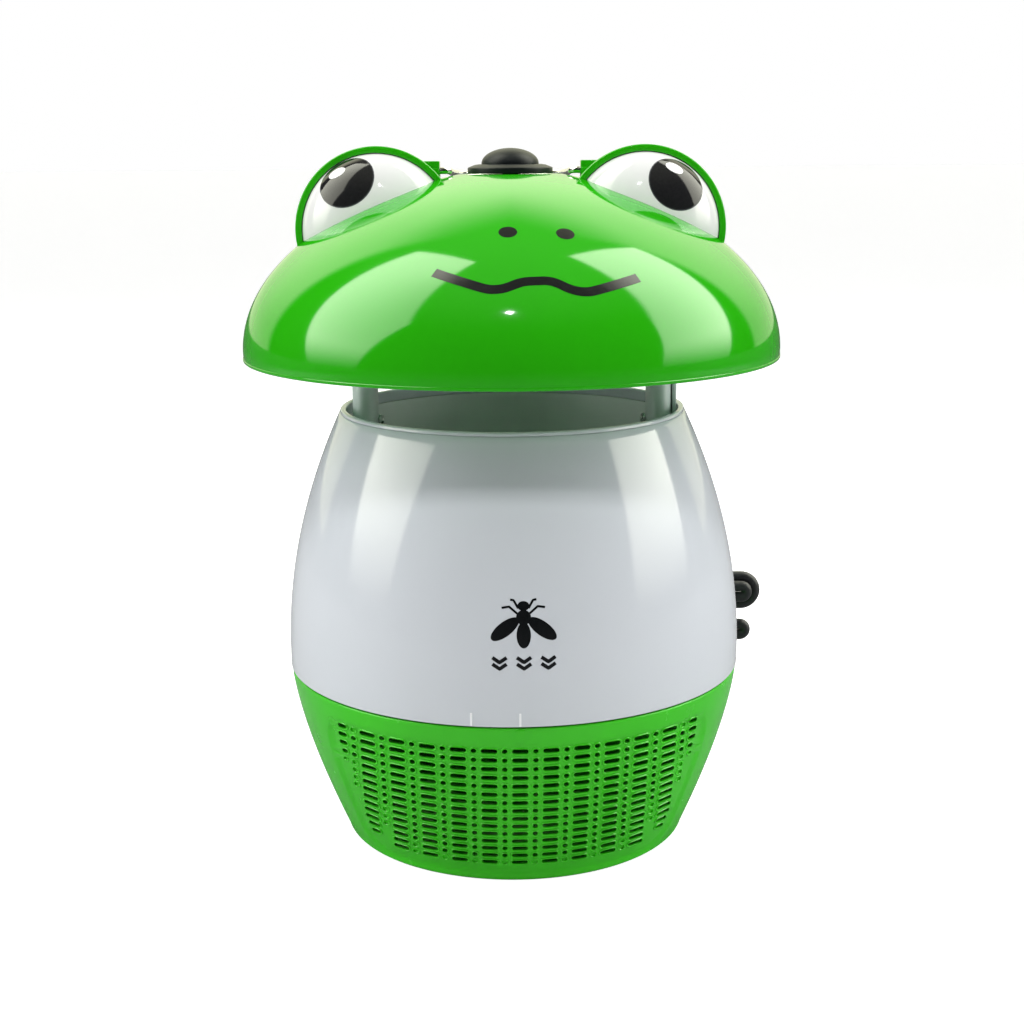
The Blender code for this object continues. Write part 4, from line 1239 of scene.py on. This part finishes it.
    def plain_inside(self):
        """The inner skin above, below and beside the cells, in larger quads."""
        count, strip, step = self.last_line, self.STRIP_STEPS, self.INSIDE_STEP
        levels = [0, self.first_cell_line] + [j1 for _, j1 in reversed(self.rows_of_cells)]
        levels.append(len(self.z_lines) - 1)
        self.sides = list(range(-strip, 0, step)) + [i0 for _, _, i0, _ in self.columns_of_cells]
        self.sides += list(range(count, count + strip + 1, step))
        for j0, j1 in zip(levels, levels[1:]):
            for i0, i1 in zip(self.sides, self.sides[1:]):
                if not self.has_cells(j0) or i1 <= 0 or i0 >= count:
                    self.patch(i0, i1, j0, j1, 1)

    def edge(self, j, layer):
        """The level line of points at height line j, without the last one."""
        if layer:
            return [self.grid_point(i, j, 1) for i in self.sides[:-1]]
        count = self.last_line
        return [self.grid_point(i, j, 0) for i in range(-self.STRIP_STEPS, count + self.STRIP_STEPS)]


def ring_at(shape, loop, radius, z):
    """A copy of a level loop at another radius and height."""
    points = []
    for index in loop:
        p = Vector(shape.points[index])
        flat = Vector((p.x, p.y)).normalized() * radius
        points.append((flat.x, flat.y, z))
    return shape.loop(points)


def bridge(shape, first, second):
    """Joins two closed loops of different counts that run the same way, by azimuth."""
    def in_order(loop):
        angles = [math.atan2(shape.points[k][1], shape.points[k][0]) for k in loop]
        shift = angles.index(min(angles))
        angles = angles[shift:] + angles[:shift]
        return loop[shift:] + loop[:shift + 1], angles + [angles[0] + math.tau, angles[0] + 2 * math.tau]

    first, a = in_order(first)
    second, b = in_order(second)
    i = j = 0
    while i < len(first) - 1 or j < len(second) - 1:
        if i < len(first) - 1 and (j >= len(second) - 1 or a[i + 1] <= b[j + 1]):
            shape.face((first[i], first[i + 1], second[j]))
            i += 1
        else:
            shape.face((second[j], second[j + 1], first[i]))
            j += 1


def carry_on(shape, loop, profile):
    """Continues a wall from its last loop along (r, z) steps and gives back the new last loop."""
    for radius, z in profile:
        after = ring_at(shape, loop, radius, z)
        shape.band(loop, after)
        loop = after
    return loop


def close_basket(shape, halves):
    """Foot, floor, seam shelf and neck, carried on from the wall's edges."""
    last = len(halves[0].z_lines) - 1
    outer_foot, outer_top, inner_foot, inner_top = (
        halves[0].edge(j, layer) + halves[1].edge(j, layer) for layer in (0, 1) for j in (0, last)
    )
    bend_r = basket_radius(FOOT_BEND) - FOOT_BEND
    turns = [math.pi / 2 * i / 5 for i in range(1, 6)]
    foot = [(bend_r + FOOT_BEND * math.cos(t), FOOT_BEND - FOOT_BEND * math.sin(t)) for t in turns]
    ring_in_r, pad_r, recess, slope = 57.5, 18, 1.2, 0.5
    underside = outline([(ring_in_r, 0), (ring_in_r - recess, recess, slope),
                         (pad_r + 1.4, recess, slope), (pad_r, 0)])
    shape.face(carry_on(shape, outer_foot, foot + underside))

    floor_z = 2.6
    floor_r = basket_radius(floor_z)
    floor = [(floor_r - 3.4, floor_z + 0.4), (floor_r - 4.6, floor_z), (20, floor_z)]
    shape.face(carry_on(shape, inner_foot, floor))

    top_r, neck_in_r = basket_radius(BASKET_SEAM_Z), NECK_R - 2.2
    neck = outline([(top_r - 0.4, BASKET_SEAM_Z), (NECK_R, BASKET_SEAM_Z, 0.4), (NECK_R, NECK_TOP_Z, 0.5),
                    (neck_in_r, NECK_TOP_Z, 0.5), (neck_in_r, BASKET_SEAM_Z - 2.3, 1.0)])
    seam_edge = (top_r - 0.12, BASKET_SEAM_Z - 0.12)
    bridge(shape, carry_on(shape, outer_top, [seam_edge] + neck), inner_top)


def build_basket():
    shape = Shape()
    halves = [BasketWall(shape, 0), BasketWall(shape, 180)]
    for half in halves:
        half.build()
    close_basket(shape, halves)
    piece("basket", shape, BASKET_GREEN, ["catch_basket"], "basket", sharp=50)
    lugs = Shape()
    root_r, tip_r, half_turn, foot, top = NECK_R - 0.8, 84.5, 4.7, 71.4, 73.4
    for centre in QUARTERS:
        arc_into(lugs, root_r, tip_r, centre - half_turn, centre + half_turn, foot, top, stations=7)
    piece("basket_lugs", lugs, BASKET_GREEN, body="basket")


def build_basket_tab():
    """Small raised tab under the locked mark, with rounded lower corners."""
    half, foot, corner = 1.6, 62.7, 1.3
    bends = [foot + corner * (1 - math.cos(math.radians(turn))) for turn in (0, 22, 45, 68, 90)]
    rows = []
    for z in bends + [65.0, 66.2, 67.2]:
        lift = max(corner - (z - foot), 0.0)
        width = half - corner + math.sqrt(max(corner**2 - lift**2, 0.04))
        radius = basket_radius(z)
        turns = [GRILLE_TURN + math.degrees(across / radius) for across in spaced(-width, width, 7)]
        rows.append([round_point(turn, radius, z) for turn in turns])
    piece("basket_tab", pad_into(Shape(), rows, inside_basket, up=0.8), BASKET_GREEN, body="basket")


# ---------------- parts under the cap and inside


def build_lamp_plate():
    low, high = span("lamp_plate")
    recess_z = low.z + 0.35
    underside = [(0, low.z), (14.0, low.z), (44.0, low.z, 0.2), (44.5, recess_z, 0.2),
                 (95.0, recess_z, 0.2), (95.5, low.z, 0.2), (high.x, low.z, 0.5)]
    profile = outline(underside + [(high.x, high.z, 0.5), (0, high.z)])
    piece("under_cap_plate", turned(profile, FINE_SIDES), PLATE_GREEN, ["lamp_plate"])


def build_lamps():
    """Six domed lamps with a collar, lens down."""
    lens_r, collar_r, collar_h = 2.5, 2.9, 0.9
    turns = [math.pi / 2 * k / 9 for k in range(10)]
    for i in range(1, 7):
        node = f"uv_led_{i}"
        low, high = span(node)
        at = (low + high) / 2
        dome = [(lens_r * math.sin(t), low.z + lens_r - lens_r * math.cos(t)) for t in turns]
        collar_z = high.z - collar_h
        profile = dome + [(lens_r, collar_z), (collar_r, collar_z), (collar_r, high.z), (0, high.z)]
        lamp = turned(profile, SMALL_SIDES, Matrix.Translation((at.x, at.y, 0)))
        piece(f"uv_lamp_{i}", lamp, LAMP, [node])


def build_lamp_window():
    """Clear ring-shaped channel over the lamps."""
    low, high = span("led_cover")
    outer_r, inner_r, wall = high.x, 16.0, 1.5
    channel = outline([(inner_r, high.z), (inner_r, low.z, 1.2), (outer_r, low.z, 1.8), (outer_r, high.z),
                       (outer_r - wall, high.z), (outer_r - wall, low.z + wall, 0.6),
                       (inner_r + wall, low.z + wall, 0.4), (inner_r + wall, high.z)])
    piece("lamp_window", turned(channel, SIDES), CLEAR, ["led_cover"])


def build_screws():
    head_r, head_h, shank_r = 3.0, 1.8, 1.3
    for kind in ("cap_screw", "base_screw"):
        for i in (1, 2, 3):
            node = f"{kind}_{i}"
            low, high = span(node)
            at = (low + high) / 2
            seat = low.z + head_h
            place = Matrix.Translation((at.x, at.y, seat))
            screw = screw_shape(head_r, head_h, high.z - seat, place, shank_r)
            piece(f"{node}_fixing", screw, STEEL, [node])


def blade_into(shape, turn, root_r, tip_r, z):
    """One twisted, cambered blade from inside the hub to its tip."""
    spin = Matrix.Rotation(turn, 4, "Z")
    half_thick, camber_h = 0.75, 1.2
    rings = []
    for part in spaced(0.0, 1.0, 9):
        radius = root_r + (tip_r - root_r) * part
        pitch = math.radians(48 - 24 * part)
        half = (7.0 + 5.5 * part) * (1 - 0.25 * max(part - 0.8, 0) * 5)
        along = Vector((0, math.cos(pitch), math.sin(pitch)))
        across = Vector((0, -math.sin(pitch), math.cos(pitch)))
        ring = []
        for angle in full_turn(20):
            a, b = half * math.cos(angle), half_thick * math.sin(angle)
            camber = camber_h * (1 - (a / half) ** 2) - camber_h / 2
            reach = math.sqrt(max(radius**2 - (a * math.cos(pitch)) ** 2, 1.0))
            ring.append(spin @ (Vector((reach, 0, z)) + along * a + across * (b + camber)))
        rings.append(shape.loop(ring))
    shape.loft(rings)


def build_fan():
    hub_r, shaft_r, foot, top = 13.0, 1.8, 111.9, 126.5
    root_r, tip_r, blades = 10.5, 49.5, 7
    bore_top = top - 4
    hub = outline([(0, top), (hub_r, top, 3.2), (hub_r, foot, 0.4), (shaft_r, foot), (shaft_r, bore_top),
                   (0, bore_top)], steps=8)
    fan = turned(hub)
    for turn in full_turn(blades):
        blade_into(fan, turn, root_r, tip_r, (foot + top) / 2 - 0.4)
    piece("fan_rotor", fan, BLACK, ["fan_impeller"], "fan")


def spokes_into(shape, count, first_turn, low, high):
    """Blocks that run out along +X, repeated about Z."""
    for turn in full_turn(count):
        start = len(shape.points)
        block_into(shape, low, high, 0.4)
        shape.place(Matrix.Rotation(first_turn + turn, 4, "Z"), start)


def build_motor():
    low, high = span("fan_motor")
    r, top, nose_r, shaft_r = high.x, 110.0, 4, 1.8
    can = outline([(0, low.z), (r, low.z, 1.2), (r, top, 1.2), (nose_r, top, 0.3), (nose_r, top + 1.3, 0.3),
                   (shaft_r, top + 1.3), (shaft_r, top - 10), (0, top - 10)])
    piece("motor_can", turned(can), MOTOR_STEEL, ["fan_motor"])

    inner, outer, foot, head = r + 0.5, r + 2.5, 88, 104
    sleeve = outline([(inner, foot, 0.3), (outer, foot, 0.6), (outer, head, 0.6), (inner, head, 0.3)])
    mount = turned(sleeve)
    rim_in, rim_out, rim_foot, rim_top, bevel = 51.4, 53.5, 96, 99, 0.3
    rim = outline([(rim_in, rim_foot, bevel), (rim_out, rim_foot, bevel), (rim_out, rim_top, bevel),
                   (rim_in, rim_top, bevel)])
    turn_into(mount, rim, FINE_SIDES)
    spokes_into(mount, 4, math.pi / 4, (outer - 1, -1.5, rim_foot + 0.5), (rim_in + 0.9, 1.5, rim_top - 0.5))
    piece("motor_bracket", mount, DUCT_GREY, ["motor_mount"])


def build_guard():
    """Rings and spokes of round and flat bar about a hub."""
    low, high = span("fan_guard")
    hub_r, bar_r, outer_r, sides = 9, 1.0, 53.9, 12
    guard = turned(outline([(0, low.z), (hub_r, low.z, 0.5), (hub_r, high.z, 0.8), (0, high.z)]))
    centre = (low.z + high.z) / 2
    for radius in (24.0, 39.0, outer_r):
        bar = [(radius + bar_r * math.cos(t), centre + bar_r * math.sin(t)) for t in full_turn(sides)]
        turn_into(guard, bar, FINE_SIDES)
    spokes_into(guard, 6, 0.0, (hub_r - 2, -0.8, low.z + 0.4), (outer_r, 0.8, high.z - 0.4))
    piece("finger_guard", guard, DUCT_GREY, ["fan_guard"])


def build_base():
    """Ring under the shell with the ledges and stops of the twist lock."""
    low, high = span("base_ring")
    inner_r, skirt_r, deck_z = 54.3, 85.0, 76.0
    ring = outline([(inner_r, deck_z), (skirt_r, deck_z, 0.6), (skirt_r, low.z, 0.3), (high.x, low.z, 0.3),
                    (high.x, high.z, 0.8), (inner_r, high.z, 0.4)])
    base = turned(ring, FINE_SIDES)
    tooth_r, root_r = 82.8, skirt_r + 0.8
    ledge, stops = (-5.2, 5.2, 68.9, 70.9), ((5.2, 7.7, 71.4, 77.0), (-18.7, -16.2, 71.4, 77.0))
    for centre in QUARTERS:
        for start, end, foot, top in (ledge, *stops):
            arc_into(base, tooth_r, root_r, centre + start, centre + end, foot, top)
    piece("lock_ring", base, WHITE, ["base_ring"])


def arc_into(shape, inner, outer, start, end, low, high, stations=8):
    """A curved block about Z; angles run counter-clockwise from +X."""
    section = ((inner, low), (outer, low), (outer, high), (inner, high))
    rings = []
    for turn in map(math.radians, spaced(start, end, stations)):
        rings.append(shape.loop((r * math.cos(turn), r * math.sin(turn), z) for r, z in section))
    shape.loft(rings)


def carry(node, look, sharp=40):
    """Keeps a CAD node's shape and gives it a better material."""
    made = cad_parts[node]
    made.data.materials.clear()
    made.data.materials.append(look)
    made.data.shade_smooth()
    made.data.set_sharp_from_angle(angle=math.radians(sharp))


# ---------------- mains cord


CORD_R = 2.45
PLUG_Z = span("power_cord")[0].z + CORD_R


def build_cord():
    """Flex that leaves the shell at the back and hangs there in a flat hank, down to the plug."""
    high = span("power_cord")[1]
    exit_y, near, plug_y = 99.0, 97.0, 99.5
    far, end_x = high.y - CORD_R, high.x - CORD_R + 0.6
    loop_x, small_bend, large_bend = 108.4, 2.55, 6.5
    upper_z, lower_z, outer_top_z, outer_foot_z, last_z = 68.7, 63.6, 72.0, 59.0, PLUG_Z + 5.1
    corners = [
        (0, 79, CORD_EXIT_Z, 0),
        (0, exit_y, CORD_EXIT_Z, 6.0), (-48, exit_y, CORD_EXIT_Z, 9.0), (-48, near, upper_z, 6.0),
        (loop_x, near, upper_z, small_bend), (loop_x, near, lower_z, small_bend),
        (-40, near, lower_z, 2.7), (-40, far, lower_z, 2.6), (-40, far, outer_top_z, 4.1),
        (end_x, far, outer_top_z, large_bend), (end_x, far, outer_foot_z, large_bend),
        (-30, far, outer_foot_z, 4.5), (-30, plug_y, last_z, 4.5),
        (108.3, plug_y, last_z, small_bend), (108.3, plug_y, PLUG_Z, small_bend),
        (-44, plug_y, PLUG_Z, 0),
    ]
    path = rounded_path([c[:3] for c in corners], [c[3] for c in corners[1:-1]], 10)
    piece("mains_cord", sweep_into(Shape(), path, CORD_R), CORD_BLACK, ["power_cord"])


def build_cord_bush():
    """Collar that clips into the shell's hole; the profile runs from the inside out."""
    hole_r = 2.8
    bush = outline([(hole_r, 83.6), (5.4, 83.6, 0.3), (5.4, 85.4), (4.1, 85.4), (4.1, 89.2),
                    (6.6, 89.2, 0.5), (6.3, 91.0, 0.6), (4.3, 92.6, 0.4), (hole_r, 92.6)])
    piece("cord_bush", turned(bush, 48, pointed("Y", CORD_EXIT_Z)), CORD_BLACK, ["cord_grommet"])


def build_plug():
    low, high = span("plug_body")
    body = block_into(Shape(), low, (low.x + 20, high.y, high.z), 2.6)
    hole_r = 2.8
    sleeve = outline([(hole_r, -47.5), (4.6, -47.5), (4.2, -45.4, 0.3), (4.2, -44.6, 0.3), (3.7, -44.6),
                      (3.7, -43.6), (3.9, -43.6, 0.2), (3.6, -40.2, 0.4), (hole_r, -40.0)])
    turn_into(body, sleeve, 48, Matrix.Translation((0, (low.y + high.y) / 2, 0)) @ pointed("X", PLUG_Z))
    piece("plug", body, CORD_BLACK, ["plug_body"])
    for name in ("upper", "lower"):
        node = f"plug_pin_{name}"
        low, high = span(node)
        at = (low + high) / 2
        radius = high.y - at.y
        pin = outline([(0, low.x), (radius * 0.7, low.x, 0.3), (radius, low.x + 1.4, 0.5), (radius, high.x),
                       (0, high.x)])
        along = Matrix.Translation((0, at.y, 0)) @ pointed("X", at.z)
        piece(f"pin_{name}", turned(pin, SMALL_SIDES, along), CHROME, [node])


def build_cord_strap():
    """A flat band round the hank."""
    low, high = span("cord_tie")
    x, half = (low.x + high.x) / 2, 0.6
    front, back, foot, top = low.y + half, high.y - half, low.z + half, high.z - half
    start = (x, front, (foot + top) / 2)
    loop = [start, (x, front, foot), (x, back, foot), (x, back, top), (x, front, top), start]
    path = rounded_path(loop, [3.0] * 4, 8)[:-1]
    side = ((2, 0.3), (1.8, 0.55))
    section = [(-a, -b) for a, b in side] + [(a, -b) for a, b in side[::-1]]
    section += [(a, b) for a, b in side] + [(-a, b) for a, b in side[::-1]]
    across = Vector((1, 0, 0))
    strap = Shape()
    rings = []
    for i, point in enumerate(path):
        along = (path[(i + 1) % len(path)] - path[i - 1]).normalized()
        out = along.cross(across)
        rings.append(strap.loop(point + across * a + out * b for a, b in section))
    for first, second in zip(rings, rings[1:] + rings[:1]):
        strap.band(first, second)
    piece("cord_strap", strap, BLACK, ["cord_tie"])


# ---------------- studio


def soft_box(name, azimuth, elevation, distance, width, height, power, diffuse=True, glossy=True):
    """An area light that faces the middle of the object."""
    target = Vector((0, 0, 0.15))
    turn, rise = math.radians(azimuth), math.radians(elevation)
    away = Vector((math.sin(turn) * math.cos(rise), -math.cos(turn) * math.cos(rise), math.sin(rise)))
    data = bpy.data.lights.new(name, "AREA")
    data.shape = "RECTANGLE"
    data.size, data.size_y = width, height
    data.energy = power
    lamp = bpy.data.objects.new(name, data)
    lamp.location = target + away * distance
    lamp.rotation_euler = (-away).to_track_quat("-Z", "Y").to_euler()
    lamp.visible_diffuse = diffuse
    lamp.visible_glossy = glossy
    bpy.context.scene.collection.objects.link(lamp)


# Windows at the sides: corners (towards the back, up, edge blur), as slopes seen from the object
LEFT_WINDOW = [(0.02, -0.07, 0.03), (1.0, 2.6, 0.06), (0.67, 6.8, 0.10),
               (-0.84, 1.1, 0.03), (-0.46, 0.05, 0.03), (-0.42, -0.07, 0.42)]
RIGHT_WINDOW = [(0.16, -0.09, 0.03), (1.1, 1.9, 0.06), (0.83, 4.25, 0.10),
                (-0.34, 0.94, 0.03), (-0.49, 0.10, 0.03), (-0.50, -0.09, 0.42)]


def reflected_room(sky, x, y, z):
    """Bright behind the object, two tall soft windows at the sides, dim in front."""
    aside = sky.do("MAXIMUM", sky.do("ABSOLUTE", x), 0.001)
    edge = sky.ease(sky.do("MULTIPLY_ADD", aside, -0.2, y), 0.32, 0.40, 0.0, 1.0)
    fade = sky.ease(sky.do("MULTIPLY_ADD", aside, 0.6, y), 0.48, 0.82, 0.0, 1.0)
    behind = sky.do("MULTIPLY", sky.do("MULTIPLY", edge, fade), sky.ease(z, 0.1, 0.65, 1.0, 2.2))
    ceiling = sky.ease(z, 0.6, 1.0, 0.0, 0.3)
    room = sky.glow((1.0, 1.0, 0.72), sky.do("ADD", behind, ceiling))
    along, up = sky.do("DIVIDE", y, aside), sky.do("DIVIDE", z, aside)
    left = sky.do("MULTIPLY", sky.window(along, up, LEFT_WINDOW), sky.do("LESS_THAN", x, 0.0))
    right = sky.do("MULTIPLY", sky.window(along, up, RIGHT_WINDOW), sky.do("GREATER_THAN", x, 0.0))
    power = sky.ease(along, -0.9, 0.4, 3.8, 7.8)
    windows = sky.glow((1.0, 1.0, 0.86), sky.do("MULTIPLY", sky.do("ADD", left, right), power))
    return sky.add("AddShader", "Shader", (room, windows))


def build_world():
    """White to the camera, a soft even fill for the light, and a lit room in reflections."""
    world = bpy.data.worlds.new("studio")
    world.use_nodes = True
    world.node_tree.nodes.clear()
    sky = Nodes(world.node_tree)
    split = sky.add("SeparateXYZ", "X", (sky.add("TexCoord", "Generated"),)).node
    room = reflected_room(sky, *split.outputs)
    fill = sky.glow((0.97, 0.985, 1.0), 0.17)
    backdrop = sky.glow((1.0, 1.0, 1.0), 1.0)
    unseen = sky.add("MixShader", "Shader", (sky.add("LightPath", "Is Glossy Ray"), fill, room))
    seen = sky.add("MixShader", "Shader", (sky.add("LightPath", "Is Camera Ray"), unseen, backdrop))
    output = world.node_tree.nodes.new("ShaderNodeOutputWorld")
    sky.feed(output.inputs["Surface"], seen)
    bpy.context.scene.world = world


def build_floor():
    """White to the camera, pale for the light that it throws back, and duller in reflections."""
    look = Look("pale_floor")
    pale = look.ramp(look.noise(3.0), 0.74, 0.77)
    dull = look.do("MULTIPLY_ADD", look.add("LightPath", "Is Glossy Ray"), -0.65, 1.0)
    look.set("Base Color", look.add("HueSaturation", "Color", {"Value": dull, "Color": pale}))
    look.set("Roughness", 0.9)
    look.set("Specular IOR Level", 0.1)
    look.set("Emission Color", look.ramp(look.noise(3.0), 0.98, 1.0))
    look.set("Emission Strength", look.do("MULTIPLY", look.add("LightPath", "Is Camera Ray"), 0.80))
    half = 30.0
    data = bpy.data.meshes.new("floor")
    corners = [(-half, -half, 0), (half, -half, 0), (half, half, 0), (-half, half, 0)]
    data.from_pydata(corners, [], [(0, 1, 2, 3)])
    data.materials.append(look.material)
    floor = bpy.data.objects.new("floor", data)
    bpy.context.scene.collection.objects.link(floor)


def build_camera():
    """In front of the object and a little above it, looking down, in metres."""
    position = (-0.00032, -0.6293, 0.2658)
    pitch, roll = math.radians(12.5), -0.0079
    data = bpy.data.cameras.new("camera")
    data.sensor_width = 36.0
    data.lens = 56.9
    camera = bpy.data.objects.new("camera", data)
    tilt = Matrix.Rotation(math.pi / 2 - pitch, 4, "X")
    camera.matrix_world = Matrix.Translation(position) @ tilt @ Matrix.Rotation(roll, 4, "Z")
    bpy.context.scene.collection.objects.link(camera)
    bpy.context.scene.camera = camera


def build_studio():
    build_world()
    build_floor()
    build_camera()
    for side, name in ((-1, "left"), (1, "right")):
        soft_box(f"{name}_fill", side * 94, 26, 1.1, 0.75, 1.25, 10.0, glossy=False)
    soft_box("back_fill", 180, 62, 1.2, 1.2, 1.0, 4.5, glossy=False)
    soft_box("top_fill", 0, 86, 1.2, 0.8, 0.8, 5.0, glossy=False)
    soft_box("key_lamp", -1, 52, 1.0, 0.16, 0.12, 3.7, glossy=False)
    soft_box("key_shine", -1, 54, 1.0, 0.026, 0.018, 0.6, diffuse=False)
    bpy.context.scene.view_settings.view_transform = "Standard"


# ---------------- whole object


def build_all():
    build_cap()
    for name, side in (("left", -1), ("right", 1)):
        build_eye(name, side)
    build_pupil("left", -1, (-10.5, 19.0), (-4.8, 4.9), 35)
    build_pupil("right", 1, (11.3, 17.2), (0.4, 6.9), -35)
    build_face()
    build_switch()
    build_bail()
    build_shell()
    build_marks()
    build_intake_ring()
    build_duct()
    build_posts()
    build_pictogram()
    build_basket()
    build_basket_tab()
    build_lamp_plate()
    build_lamps()
    build_lamp_window()
    build_screws()
    build_fan()
    build_motor()
    build_guard()
    build_base()
    build_cord()
    build_cord_bush()
    build_plug()
    build_cord_strap()
    for node, look in (("led_board", BOARD), ("driver_board", BOARD), ("transformer", TAPE),
                       ("capacitor", BLACK), ("wiring_harness", CORD_BLACK), ("switch_body", BLACK),
                       ("motor_shaft", STEEL)):
        carry(node, look)


build_all()
build_studio()
